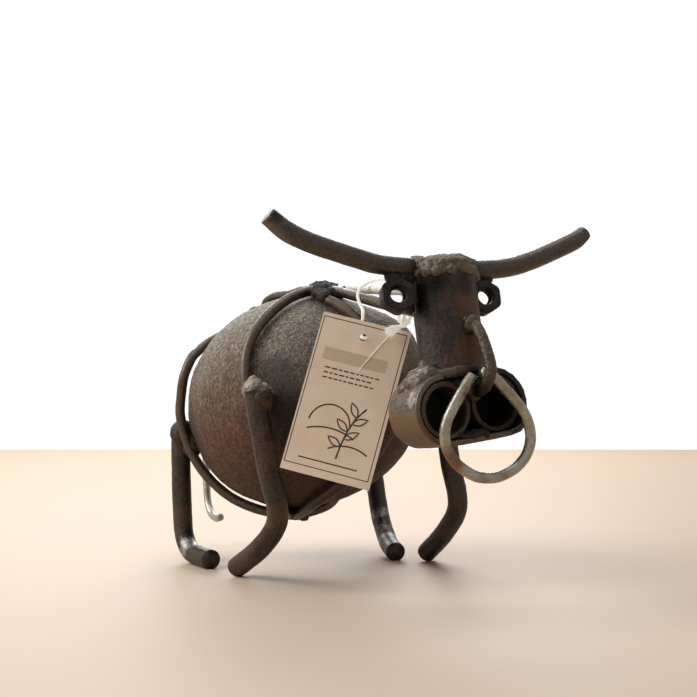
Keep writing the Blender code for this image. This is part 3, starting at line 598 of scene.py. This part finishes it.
def tag_card():
    """Uncoated recycled card: warm tan, matt, with a faint cloudy tone and fibre specks."""
    made, tree, shader, place = new_material("uncoated tan card")
    clouds, fibres = [add(tree, "TexNoise", None, (place, 0.0, 1 / (size * MM), 3.0, rough))
                      for size, rough in ((20.0, 0.5), (0.6, 0.7))]
    tone = add(tree, "ValToRGB", {"stops": ((0.30, "#e9d0b5"), (0.70, "#f5e1cb"))}, (clouds,))
    fleck = add(tree, "MapRange", None, (fibres, 0.3, 0.7, 0.93, 1.05))
    tone = add(tree, "VectorMath", SCALE, {0: tone, "Scale": fleck})
    bump = add(tree, "Bump", None, {"Height": fibres, "Strength": 0.2, "Distance": 0.06 * MM})
    feed(shader, {"Base Color": tone, "Roughness": 0.82, "Specular IOR Level": 0.25, "Normal": bump})
    return made


def printing_ink(name, dark, light):
    """Flat printing ink on card, a little uneven, as a small press lays it down."""
    made, tree, shader, place = new_material(name)
    body = add(tree, "TexNoise", None, (place, 0.0, 1 / (0.9 * MM), 3.0, 0.7))
    tone = add(tree, "ValToRGB", {"stops": ((0.30, dark), (0.70, light))}, (body,))
    feed(shader, {"Base Color": tone, "Roughness": 0.7})
    return made


def cotton_thread():
    """Bleached cotton thread: white, soft and fuzzy, with a slight sheen along its fibres.

    Its glow is painted light: an emission that stands in for the bright room shining through its loose
    fibres.
    """
    made, tree, shader, place = new_material("bleached cotton thread")
    fuzz = add(tree, "TexNoise", None, (place, 0.0, 1 / (0.4 * MM), 3.0, 0.7))
    tone = add(tree, "ValToRGB", {"stops": ((0.30, "#f2efe9"), (0.70, "#fdfcfa"))}, (fuzz,))
    bump = add(tree, "Bump", None, {"Height": fuzz, "Strength": 0.4, "Distance": 0.1 * MM})
    feed(shader, {
        "Base Color": tone, "Roughness": 0.9, "Sheen Weight": 0.3, "Normal": bump,
        # emission as painted light, for the room shining through the fibres
        "Emission Color": linear("#fffaf2"), "Emission Strength": 0.22})
    through = add(tree, "BsdfTranslucent", None, (tone,))
    lit = add(tree, "MixShader", None, (0.45, shader, through))
    feed(tree.nodes["Material Output"], {"Surface": lit})
    return made


def table_top():
    """A plain pale table with an oiled finish: matt, with a soft warm image of the feet."""
    made, _, shader, _ = new_material("pale oiled table")
    feed(shader, {"Base Color": linear("#d3bda7"), "Roughness": 0.55, "Specular IOR Level": 0.18})
    return made


STONE = river_stone()
# In the steel looks below, the places listed as darkened are painted shade, for example in nut holes and
# tubes, under the crown and round the horns' roots.
LEG_BAR = waxed_steel(
    "waxed leg bar with mill scale", "#3f3a36", "#4b3829", "#8c8886", 0.36, (0.32, 0.50),
    browned=((-50, -62, 42, 13), (74, -48, 24, 14), (-57, 58, 30, 12)),
    # bright places: a painted highlight on the rear right leg's bend, and worn metal on the rear left leg's
    # foot
    rubbed_and_highlit=((-57, 46, 10, 15), (71, 29, 23, 13), (69, 20, 14, 13), (65, 10, 9, 13)))
LEG_WELDED = waxed_steel(
    "waxed leg bar under the pale weld", "#3e3833", "#503827", "#8c8a88", 0.36, (0.32, 0.50),
    browned=((-52, -63, 74, 11), (-49, -60, 40, 12), (-52, -24, 8, 12)))
HORN_BAR = waxed_steel(
    "waxed horn bar with mill scale", "#514a44", "#584637", "#98928b", 0.30, (0.30, 0.48),
    painted_shade=((-17, -150, 173, 13), (16, -150, 170, 10), (-96, -149, 196, 7), (96, -146, 195, 6)))
HOOP_ROD = waxed_steel(
    "browned hoop rod", "#5b5248", "#5a4534", "#aa9f90", 0.32, (0.28, 0.46),
    # its bright places are a painted highlight along the front right hoop's upper side
    rubbed_and_highlit=((-36, -52, 140, 22), (-50, -46, 118, 14)))
CHEST_ROD = waxed_steel(
    "browned chest rod", "#4c433c", "#573f2e", "#7c7066", 0.42, (0.34, 0.52), painted_shade=((5, -20, 166, 16),))
PIPE = waxed_steel(
    "rusty steam pipe", "#3b3633", "#553927", "#6c645c", 0.20, (0.40, 0.56), 0.14,
    browned=((8, -172, 152, 24), (12, -172, 128, 24), (0, -178, 132, 15)),
    painted_shade=((-17, -152, 158, 16), (0, -168, 163, 8), (-12, -162, 163, 9), (11, -162, 162, 8)))
HOOK_ROD = waxed_steel(
    "weathered hook rod", "#544b40", "#5a4534", "#8a8072", 0.35, (0.34, 0.52), 0.12,
    painted_shade=((0, -184, 111, 12),))
MUZZLE = waxed_steel(
    "browned muzzle plate", "#6d665e", "#70563a", "#a19a90", 0.32, (0.26, 0.44), 0.05,
    browned=((-20, -170, 82, 26), (4, -165, 82, 26), (-32, -155, 88, 14)),
    # the bright place high on the muzzle's right is a painted highlight, and the darkened places on its left
    # are painted shade
    rubbed_and_highlit=((-31, -168, 106, 10),), painted_shade=((34, -172, 106, 26), (22, -176, 118, 14)))
TUBE = waxed_steel(
    "browned short tube", "#4a4039", "#5f4936", "#7c7066", 0.45, (0.40, 0.6), 0.12, 0.6,
    painted_shade=((-12, -150, 100, 24), (14, -155, 98, 30), (19, -178, 98, 33)))
# near black as painted shade: the muzzle's back plate and the welds round the nostrils sit in shade
MUZZLE_SHADE_STEEL = waxed_steel(
    "steel inside the muzzle, near black as painted shade", "#1d1b1a", "#2c2019", "#2b2a29", 0.35, (0.5, 0.7), 0.15, 0.4)
NUT_STEEL = waxed_steel(
    "black oxide nut", "#302e2d", "#41301f", "#5d5a58", 0.25, (0.36, 0.56), 0.12,
    painted_shade=((-30.5, -151.0, 157.4, 8.4), (23.8, -149.0, 158.0, 8.4)))
WELD = waxed_steel("weld metal", "#3d3530", "#4e3b2c", "#8d867d", 0.40, (0.40, 0.62), 0.22)
# dark weld metal; on the welds of the horns and eyes its darkness is also painted shade between horn, nut and
# pipe
DARK_AND_SHADED_WELD = waxed_steel("dark weld metal with painted shade", "#2c2725", "#372b23", "#5d5a58", 0.35, (0.44, 0.66), 0.2, 0.6)
PALE_WELD = waxed_steel(
    "ground weld metal", "#857b6e", "#6d5a48", "#aaa397", 0.25, (0.40, 0.58), 0.16, 0.6,
    painted_shade=((-53, -53, 100, 9),))
SHOULDER_WELD = waxed_steel(
    "waxed weld metal at the muzzle", "#5a544d", "#5c4836", "#98928a", 0.30, (0.30, 0.48), 0.14,
    painted_shade=((2, -176, 116, 17),))
CROWN = waxed_steel(
    "weld slag on the crown", "#6f665a", "#65503e", "#9a9185", 0.36, (0.42, 0.66), 0.30, 0.5,
    painted_shade=((0, -170, 163, 8), (-13, -164, 163, 8), (13, -164, 162, 8), (-17, -150, 166, 8)))
# near white: a pale zinc coat, made brighter with painted sheen from the bright room behind it
PALE_ROD = waxed_steel(
    "pale zinc coated rod with painted sheen", "#efece3", "#cfc5b2", "#f4f2ec", 0.06, (0.28, 0.46), 0.06, 0.15)
ZINC = waxed_steel(
    "dull zinc coated rod", "#b5b1a2", "#8a7055", "#dedbd0", 0.15, (0.30, 0.48), 0.08,
    painted_shade=((-8, 12, 163, 60), (-8, 60, 150, 40)))
RING_STEEL = waxed_steel(
    "rusting zinc ring", "#a9a494", "#7c5b41", "#d2cdbf", 0.22, (0.24, 0.42), 0.08,
    browned=((-17, -181, 78, 11),), painted_shade=((-18.6, -180, 92.8, 4.5), (-10.7, -183, 108.7, 2.6)))
CARD = tag_card()
INK = printing_ink("brown printing ink", "#33281f", "#46382c")
TINT = printing_ink("thin tan printing ink", "#c9b193", "#d3bb9f")
COTTON = cotton_thread()
TABLE = table_top()


# Stone


def make_stone():
    """The river stone, with pits and low ridges worn into it."""
    piece = copy_of("stone", "stone_body")
    # the left shoulder lies a little lower, so that daylight shows under the neck rod
    shoulder = at(SHOULDER)
    nearest = min(piece.data.vertices, key=lambda vertex: (vertex.co - shoulder).length).index
    edit_mesh("VERT", lambda mesh, vertex: vertex.index == nearest, bpy.ops.transform.translate,
              value=(0.0, 0.0, -SHOULDER_DROP * MM), use_proportional_edit=True,
              proportional_edit_falloff="SMOOTH", proportional_size=SHOULDER_REACH * MM)
    finer = piece.modifiers.new("finer", "SUBSURF")
    finer.levels = finer.render_levels = 2
    dent(piece, (dent_texture("worn hollows", 22.0), 1.2), (dent_texture("low ridges", 6.0, 3), 0.8),
         (dent_texture("pits", 2.1, 3), 1.0))
    fit_to(piece, STONE, "stone", "stone")


make_stone()


# Bars and rods


def swept(name, lines, thick, rounds):
    """Round lines as one mesh. Each has its points in metres, its share of the thickness at each of them,
    and whether it closes."""
    pick()
    bpy.ops.curve.primitive_bezier_curve_add(location=(0.0, 0.0, 0.0))
    path = bpy.context.object.data
    path.dimensions = "3D"
    path.splines.clear()
    for points, shares, closes in lines:
        line = path.splines.new("POLY")
        line.use_cyclic_u = closes
        line.points.add(len(points) - 1)
        for place, point, share in zip(line.points, points, shares):
            place.co = (*point, 1.0)
            place.radius = share
    path.bevel_depth = thick / 2 * MM
    path.bevel_resolution = rounds
    path.use_fill_caps = True
    bpy.ops.object.convert(target="MESH")
    piece = bpy.context.object
    piece.name = name
    return piece


def bent_bar(name, route, diameter, rounds=12):
    """A round bar bent along a route, with its two end rims eased."""
    points = [at(point) for point in spline_through(route, BAR_STEP)]
    bar = swept(name, [(points, [1.0] * len(points), False)], diameter, rounds)
    edit_mesh("FACE", None, bpy.ops.mesh.remove_doubles, threshold=0.002 * MM)
    edit_mesh("FACE", lambda mesh, face: len(face.vertices) > 4, bpy.ops.mesh.bevel,
              offset=BAR_RIM * MM, segments=2, affect="EDGES")
    return bar


def rod(name, route, diameter, look, slot, node, body="figure"):
    """A rod with hammer dents, which stands for a solid."""
    piece = bent_bar(name, route, diameter)
    dent(piece, *ROD_DENTS)
    fit_to(piece, look, slot, node, body=body)


def saw_off(bar, place, away):
    """Cuts a bar flat at a place and closes it. What lies against the given direction is taken off."""
    pick(bar)
    edit_mesh("FACE", None, bpy.ops.mesh.bisect, plane_co=place, plane_no=away, use_fill=True,
              clear_inner=True)


def weld_run(name, beads, voxel=0.4, dents=WELD_DENTS, ease=3):
    """Weld metal run together from beads, each given by its centre, three radii and how it is turned."""
    drops = []
    for centre, radii, turn in beads:
        pick()
        bpy.ops.mesh.primitive_ico_sphere_add(subdivisions=3, radius=MM, location=at(centre), rotation=turn)
        bpy.context.object.scale = radii
        drops.append(bpy.context.object)
    run = joined(name, *drops)
    run_together(run, voxel, ease)
    dent(run, *dents)
    return run


def drift(x, y, z):
    """A repeatable uneven value for each axis, from about -1 to 1."""
    return Vector([
        noise.noise(Vector((x + 9.3 * axis, y - 1.5 * axis, z + 2.7 * axis))) for axis in range(3)])


def wobble(seed, reach):
    """A repeatable small offset in millimetres."""
    return drift(seed * 1.37, 4.1, 2.3) * reach


def bead_chain(start, end, count, size, seed=0.0):
    """Beads of weld metal in an uneven row between two places."""
    beads = []
    for i in range(count):
        place = Vector(start).lerp(Vector(end), i / max(1, count - 1)) + wobble(seed + i, size * 0.5)
        grow = 1.0 + 0.35 * noise.noise(Vector((seed + i * 0.9, 1.7, 0.2)))
        beads.append((place, (size * grow, size * grow, size * grow * 0.9), (0.4 * i, 0.3 * i, 0.0)))
    return beads


def make_legs():
    """Four bent legs, each welded to a hoop by a heap of beads."""
    for where, (route, (heap, heap_size), (spur, spur_size)) in LEGS.items():
        pale = where == "front_right"
        bar = bent_bar("bar_leg_" + where, route, LEG_DIAMETER, 18)
        dent(bar, *BAR_DENTS)
        saw_off(bar, (0, 0, 0), (0, 0, 1))
        beads = [(heap, heap_size, (0.2, 0.1, 0)), (spur, spur_size, (0.1, 0.2, 0.3))]
        beads += bead_chain(Vector(heap) + Vector((0, 0, 5)), spur, 5, 3.2, len(where) * 3.1 + heap[0])
        if pale:
            under = weld_run("weld_leg_under_" + where, UNDER_WELD, 0.4, ((BEAD, 0.9), (SPATTER, 0.4)), 6)
            fit_to(under, LEG_WELDED, "weld")
        weld = weld_run("weld_leg_" + where, beads, 0.4, ((BEAD, 1.2), (SPATTER, 0.6)), 4)
        fit_to(bar, LEG_WELDED if pale else LEG_BAR, "leg_bar", "leg_" + where)
        fit_to(weld, PALE_WELD if pale else WELD, "weld")


def make_cage():
    """The hoops that hold the stone, the spine rod that ends as the tail, and the neck rods."""
    for where, (height, start, stations, end) in HOOPS.items():
        thick, look = (CHEST_DIAMETER, CHEST_ROD) if where == "chest" else (HOOP_DIAMETER, HOOP_ROD)
        points = [start] + [on_stone(*(*station, height)[:3]) for station in stations] + end
        rod("rod_hoop_" + where, laid(points, thick), thick, look, "hoop_rod", "hoop_" + where)
    points = [TOP_KNOT] + [on_stone(*station) for station in SPINE_STATIONS] + [*TAIL_FALL]
    rod("rod_tail", laid(points, TAIL_DIAMETER), TAIL_DIAMETER, ZINC, "galvanised_rod", "tail")
    rod("rod_neck_lower", LOWER_STRUT, STRUT_DIAMETER, HOOP_ROD, "hoop_rod", "neck_strut_lower")
    rod("rod_neck_upper", UPPER_STRUT, STRUT_DIAMETER, PALE_ROD, "galvanised_rod", "neck_strut_upper")
    for knot, look in (("top", DARK_AND_SHADED_WELD), ("bottom", WELD), ("rump", WELD)):
        heap = copy_of("knot_" + knot, "weld_knot_" + knot)
        if knot == "top":
            beads = [bead for chain in TOP_BEADS for bead in bead_chain(*chain)]
            heap = joined("weld_knot_top", weld_run("knot_beads", beads, 0.4, ()), heap)
        run_together(heap, 0.4, 3)
        dent(heap, *WELD_DENTS)
        fit_to(heap, look, "weld", "knot_" + knot)


def make_horns():
    """Two bent bars with tips sawn at a slant."""
    for where, route in HORNS.items():
        bar = bent_bar("bar_horn_" + where, route, HORN_DIAMETER, 16)
        dent(bar, *BAR_DENTS)
        out, rise, lean = HORN_CUTS[where]
        turn = Matrix.Rotation(lean, 3, "Y") @ Matrix.Rotation(math.copysign(0.25, -lean), 3, "X")
        saw_off(bar, at(Vector(route[-1]) + Vector((out, 0, rise))), turn @ Vector((0, 0, 1)))
        fit_to(bar, HORN_BAR, "horn_bar", "horn_" + where)


def out_of_pipe(turn):
    """The way out of the pipe's wall at an angle round it."""
    return PIPE_SIDE * math.cos(turn) + PIPE_FRONT * math.sin(turn)


def make_face():
    """The pipe, its crown of weld slag with a skirt that ran down over the rim, and the horns' welds."""
    redone("face_pipe", "pipe_face", 0.5, 4, ((HAMMERED, 0.5), (SCALE_GRIT, 0.3)), PIPE, "rusty_pipe")

    cap = copy_of("crown_weld", "crown_core")
    beads = []
    for i in range(CROWN_DROPS):
        rim = out_of_pipe(2 * math.pi * i / CROWN_DROPS)
        drop = 1.0 + 5.0 * abs(noise.noise(Vector((i * 0.83, 5.2, 1.1))))
        centre = PIPE_TOP + rim * (PIPE_DIAMETER / 2 - 0.9) - PIPE_ALONG * (drop - 1.2) + wobble(i, 0.7)
        beads.append((centre, (2.6, 2.2, 1.5 + drop * 0.5), (-0.19, 0, 0)))
        low = PIPE_TOP + rim * (PIPE_DIAMETER / 2 + 0.1) - PIPE_ALONG * (2.6 + drop * 0.9)
        low += wobble(i + 60, 1.5)
        beads.append((low, (3, 1.9, 2.0 + 0.3 * drop), (-0.19, 0.6 * math.sin(i * 1.9), 0)))
    for x, lean in ((-16, -1), (14.5, 1)):
        beads += bead_chain((x - lean * 2, -152.5, 175.5), (x + lean * 3, -152, 175), 4, 2.6, x + 7)
    crown = joined("weld_crown", weld_run("crown_skirt", beads, 0.4, ()), cap)
    run_together(crown, 0.4, 2)
    dent(crown, (BEAD, 1.1), (SPATTER, 1.2))
    fit_to(crown, CROWN, "weld", "crown_weld")
    beads = []
    for x, lean in ((-16.5, -1), (14.5, 1)):
        beads += bead_chain((x, -156, 172.5), (x + lean * 2, -155, 166.5), 4, 2.4, x)
        beads += bead_chain((x, -147, 172.5), (x + lean * 2, -147, 166.5), 4, 2.4, x + 3)
    fit_to(weld_run("weld_horns", beads), DARK_AND_SHADED_WELD, "weld")


def make_eyes():
    """The nuts, their threads worn to a ring, and the welds that hold them to the pipe."""
    for where, centre in EYES.items():
        nut = copy_of("eye_" + where, "nut_eye_" + where)
        pick()
        bpy.ops.mesh.primitive_torus_add(
            location=at(centre + Vector((0, 0.5, 0))), rotation=(math.radians(90), 0, 0),
            major_radius=4.7 * MM, minor_radius=1.1 * MM, major_segments=40, minor_segments=12)
        nut = joined("nut_eye_" + where, bpy.context.object, nut)
        run_together(nut, 0.3, 60)
        dent(nut, (SCALE_GRIT, 0.25))
        fit_to(nut, NUT_STEEL, "nut_steel", "eye_" + where)
        lean = 1.0 if where == "right" else -1.0
        inner = centre + Vector((lean * 9, 2, 0))
        beads = bead_chain(inner + Vector((0, 0, 6)), inner + Vector((0, 0, -6)), 5, 2.3, centre.x)
        beads += bead_chain(
            centre + Vector((-lean * 3.4, 2, 9.2)), centre + Vector((lean * 8, 2, 9.6)), 6, 3, 2)
        fit_to(weld_run("weld_eye_" + where, beads), DARK_AND_SHADED_WELD, "weld")


def on_muzzle(x, y, z):
    """A point given from the muzzle's middle, across, back and up."""
    return MUZZLE_CENTRE + MUZZLE_TURN @ Vector((x, y, z))


def make_muzzle():
    """The plate bent round two short tubes, with the welds that hold it to the pipe."""
    redone("muzzle_band", "plate_muzzle", 0.5, 3, PLATE_DENTS, MUZZLE, "muzzle_steel")
    redone("muzzle_back", "plate_muzzle_back", 0.6, 2, PLATE_DENTS, MUZZLE_SHADE_STEEL, "muzzle_steel")
    for where in ("right", "left"):
        redone("nostril_" + where, "tube_nostril_" + where, 0.5, 3, ROD_DENTS, TUBE, "muzzle_steel")

    beads = []
    for i in range(PIPE_DROPS):
        rim = out_of_pipe(math.radians(-200 + 260 * i / (PIPE_DROPS - 1)))
        rise = PIPE_ALONG * (1.6 - 0.09 * abs(rim.x) * 10)
        centre = PIPE_BOTTOM + rim * (PIPE_DIAMETER / 2 - 0.6) + rise + wobble(i + 40, 0.5)
        beads.append((centre, (2.6, 2.4, 3.2), (0, 0.2 * i, 0)))
    for y in (-6, -1, 4):
        corner = PIPE_BOTTOM + Vector((-17, y + 1, 1.5))
        beads += bead_chain(PIPE_BOTTOM + Vector((-15.2, y * 0.7, 6)), corner, 6, 3, 12.0 + y)
        beads += bead_chain(corner, on_muzzle(-24, y + 2, 13.5), 10, 4.4, 30.0 + y)
    shoulder = weld_run("weld_muzzle", beads, 0.5, ((HAMMERED, 0.6), (SCALE_GRIT, 0.3)), 26)
    fit_to(shoulder, SHOULDER_WELD, "weld")
    beads = bead_chain(on_muzzle(-9, -11.5, -13.8), on_muzzle(7, -11.5, -14.2), 7, 2.4, 5)
    beads += bead_chain(on_muzzle(-6, -11.5, 12.6), on_muzzle(6, -11, 12.8), 6, 2.6, 8)
    beads += bead_chain((-13, -167.5, 116.4), (-2, -169, 117), 6, 2.8, 3)
    fit_to(weld_run("weld_nostrils", beads), MUZZLE_SHADE_STEEL, "weld")


def make_hook_and_ring():
    """The hook welded to the face, and the loose ring that hangs in it."""
    bar = bent_bar("hook_bar", HOOK_ROUTE, HOOK_DIAMETER)
    beads = [*HOOK_WELD, *bead_chain((-2, -172, 146), (2.5, -172, 139), 4, 2.4, 6)]
    hook = joined("rod_nose_hook", bar, weld_run("hook_weld", beads, 0.35, ()))
    run_together(hook, 0.35, 3)
    dent(hook, (BEAD, 0.5), (SPATTER, 0.45))
    fit_to(hook, HOOK_ROD, "rusty_pipe", "nose_hook")
    bow = [RING_AXIS + Vector((x, 0, z)) for x, z in RING_BOW]
    rod("rod_nose_ring", bow, RING_DIAMETER, RING_STEEL, "galvanised_rod", "nose_ring", "ring")


make_legs()
make_cage()
make_horns()
make_face()
make_eyes()
make_muzzle()
make_hook_and_ring()


# Card tag


def print_on_tag(piece, look, film):
    """Flattens a drawing to a film of ink and lays it on the tag's front."""
    pick(piece)
    bpy.ops.transform.resize(value=(1.0, 1.0, film))
    settle()
    turn = Matrix(tag_axes()).transposed().to_4x4()
    piece.matrix_world = Matrix.Translation(at(on_tag(0.0, 0.0, TAG_THICKNESS / 2 + 0.02))) @ turn
    settle()
    fit_to(piece, look, "tag_card")


def arc(centre, radius, start, end, squash=1.0, steps=24):
    """Points along a part of a circle, from one angle to another."""
    turns = [math.radians(start + (end - start) * i / steps) for i in range(steps + 1)]
    return [(centre[0] + radius * math.cos(t), centre[1] + radius * squash * math.sin(t)) for t in turns]


def leaf(root, angle, length, width):
    """The outline of one leaf from its stalk."""
    turn = Matrix.Rotation(math.radians(angle), 2)
    there = [(length * i / 8, width * math.sin(math.pi * i / 8) * (1 - 0.04 * i)) for i in range(9)]
    back = [(x, -y) for x, y in there[7:0:-1]]
    return [tuple(Vector(root) + turn @ Vector(point)) for point in there + back]


def upright(mesh, edge):
    """Whether an edge stands up through the film of ink."""
    low, high = [mesh.vertices[i].co for i in edge.vertices]
    return abs(low.z - high.z) > 0.01 * MM


def make_tag():
    """The hang tag: its card keeps the solid, and the print lies on its front as a thin film."""
    NODES["tag"].data.materials.clear()
    NODES["tag"].data.materials.append(CARD)
    left, right = 1.2 - TAG_WIDTH / 2, TAG_WIDTH / 2 - 1.9
    top, foot = TAG_HEIGHT / 2 - 2.3, 4.4 - TAG_HEIGHT / 2
    strokes = [(0.72, [(left, foot), (right, foot), (right, top), (left, top)], True)]
    # rows of short dashes high up, where this tag has its small print
    for row, (y, far) in enumerate(((15.0, 13.5), (12.2, 10.0), (9.4, 12.0))):
        reach = -16.0
        while reach < far:
            length = 2.2 + 1.5 * noise.noise(Vector((reach * 0.7, row * 3.3, 0.4)))
            strokes.append((0.80, [(reach, y), (reach + length, y)], False))
            reach += length + 0.9
    # a low sun over paddies, with a sprig of rice in front and a line below
    strokes += [(0.85, arc((-5.5, -16.0), 11.5, 4, 176), False),
                (0.85, arc((-4.0, -45.0), 29.0, 62, 116, 0.95), False),
                (0.85, arc((9.0, -42.0), 19.0, 58, 128, 0.9), False), (0.95, RICE_STALK, False)]
    strokes += [(0.80, leaf(root, angle, 9.0, 2.1), True) for root, angle in RICE_LEAVES]
    strokes.append((0.75, [(-17.0, -36.4), (16.0, -36.4)], False))
    lines = [([(x * MM, y * MM, 0.0) for x, y in points], [width] * len(points), closes)
             for width, points, closes in strokes]
    print_on_tag(swept("tag_print", lines, 1.0, 1), INK, 0.10)

    band = block("tag_tint", (-1.0 * MM, 22.6 * MM, -0.01 * MM), (36.0 * MM, 7.0 * MM, 0.04 * MM))
    edit_mesh("EDGE", upright, bpy.ops.mesh.bevel, offset=0.8 * MM, segments=3, affect="EDGES")
    print_on_tag(band, TINT, 1.0)


make_tag()


# String


def threads(name, routes, diameters, rounds):
    """Thin round threads along routes in millimetres, as one mesh. Each thins out at its end."""
    lines = [([at(point) for point in route], [diameter] * (len(route) - 1) + [diameter * 0.6], False)
             for route, diameter in zip(routes, diameters)]
    piece = swept(name, lines, 1.0, rounds)
    bpy.ops.object.shade_smooth()
    return piece


def laid_plies(route, plies, turn, ply, overall):
    """Routes of plies twisted round a route."""
    side = Vector((0.0, 0.0, 1.0))
    routes = [[] for _ in range(plies)]
    gone = 0.0
    for i, point in enumerate(route):
        before, after = route[max(0, i - 1)], route[min(len(route) - 1, i + 1)]
        along = (after - before).normalized()
        side = (side - along * side.dot(along)).normalized()
        other = along.cross(side)
        gone += (point - before).length
        for k in range(plies):
            angle = 2 * math.pi * (gone / turn + k / plies)
            off = (overall - ply) / 2
            routes[k].append(point + (side * math.cos(angle) + other * math.sin(angle)) * off)
    return routes


def make_knot():
    """The string's two ends tied in a round knot, with one curl that stands off it."""
    right, upward, facing = tag_axes()
    ball, curl = [], []
    for i in range(61):
        t = 2 * math.pi * i / 60
        ball.append(STRING_KNOT + (
            right * (math.sin(t) + 2 * math.sin(2 * t)) + upward * (math.cos(t) - 2 * math.cos(2 * t))
            - facing * math.sin(3 * t) * 1.1) * 0.80)
    middle = STRING_KNOT + right * -1.0 + upward * 2.6 + facing * 0.8
    for i in range(49):
        t = math.radians(-110 + 340 * i / 48)
        curl.append(middle + (right * math.cos(t) * 3.0 + upward * math.sin(t) * 4.0)
                    + facing * (0.8 - 1.8 * i / 48))
    routes = laid_plies(ball, 2, 3.0, 0.85, 1.5) + laid_plies(curl, 3, 3.4, 0.95, 2.1)
    knot = threads("string_tied_knot", routes, [0.85] * 2 + [0.95] * 3, 2)
    fit_to(knot, COTTON, "cotton", "string_knot")
    return knot


def make_fray():
    """The fibres that fan out of the knot, and one long loose thread that lies over the tag."""
    right, upward, facing = tag_axes()
    fibres, sizes = [], []
    for i in range(FIBRES):
        lean, wave = drift(i * 0.71, 3.3, 1.7), drift(i * 0.37, 9.1, 4.4)
        start = STRING_KNOT + right * (lean.x - 1.2) + upward * (lean.y - 3.0) + facing * (0.5 + lean.z * 0.6)
        reach = 8.0 + 4.0 * wave.x
        away = (right * (-0.80 + 0.50 * lean.x) + upward * (-0.66 + 0.62 * lean.y)
                + facing * (0.16 + 0.15 * wave.z))
        if i % 12 == 0:
            away = right * (0.1 + 0.3 * lean.x) + upward * 0.95 + facing * 0.2
            reach *= 0.7
        away.normalize()
        fibre = []
        for k in range(7):
            t = k / 6
            sway = (right * wave.y + upward * wave.z) * 2.4 * t * t
            fibre.append(start + away * reach * t + sway + facing * (0.9 * math.sin(math.pi * t) + 0.2))
        fibres.append(fibre)
        sizes.append(0.30 + 0.06 * wave.z)
    fray = threads("string_fray", [*fibres, LOOSE_THREAD], [*sizes, 0.42], 0)
    fit_to(fray, COTTON, "cotton")
    return fray


def make_string():
    """The cotton string: three twisted plies through the hole, over the neck rods and back to its knot."""
    fine = spline_through(STRING_ROUTE, 0.45)
    plies = laid_plies(fine, 3, PLY_TURN, PLY_DIAMETER, PLIES_ACROSS)
    string = threads("string_plies", plies, [PLY_DIAMETER] * 3, 2)
    fit_to(string, COTTON, "cotton", "tag_string")
    knot, fray = make_knot(), make_fray()


make_string()


# Table and light


def make_table():
    """A plain pale table whose far edge shows low behind the figure."""
    table = block("table", (0.0, 0.0, 0.0), TABLE_SIZE)
    edit_mesh("EDGE", None, bpy.ops.mesh.bevel, offset=0.002, segments=2, affect="EDGES")
    _, deep, thick = TABLE_SIZE
    away = Matrix.Translation((0.0, TABLE_EDGE - deep / 2, -thick / 2))
    table.matrix_world = Matrix.Rotation(CAMERA_TURN, 4, "Z") @ away
    settle()
    table.data.materials.append(TABLE)


def softbox(name, place, width, height, power):
    """A rectangular studio lamp that faces the figure."""
    lamp = bpy.data.lights.new(name, "AREA")
    lamp.shape, lamp.size, lamp.size_y, lamp.energy = "RECTANGLE", width, height, power
    box = bpy.data.objects.new(name, lamp)
    box.location = place
    box.rotation_euler = (Vector((0.0, 0.0, 0.10)) - Vector(place)).to_track_quat("-Z", "Y").to_euler()
    SCENE.collection.objects.link(box)


def set_light():
    """A white room with large soft lights above, behind and to the left."""
    world = bpy.data.worlds.new("white room")
    SCENE.world = world
    world.use_nodes = True
    tree = world.node_tree
    rays = add(tree, "LightPath").outputs
    seen = add(tree, "MapRange", None, (rays["Is Camera Ray"], 0.0, 1.0, ROOM_LIGHT, ROOM_SEEN))
    strength = add(tree, "Math", MULTIPLY_ADD, (rays["Is Glossy Ray"], ROOM_SHINE, seen))
    feed(tree.nodes["Background"], {"Color": linear("#ffffff"), "Strength": strength})
    softbox("window_left", (-1.0, 0.45, 0.85), 0.9, 0.9, 14.0)
    softbox("window_back", (0.55, 1.15, 0.70), 1.1, 0.7, 12.0)
    softbox("ceiling", (0.05, 0.1, 1.3), 0.9, 0.9, 6.0)
    SCENE.view_settings.view_transform = "Standard"
    SCENE.view_settings.look = "None"


make_table()
set_light()
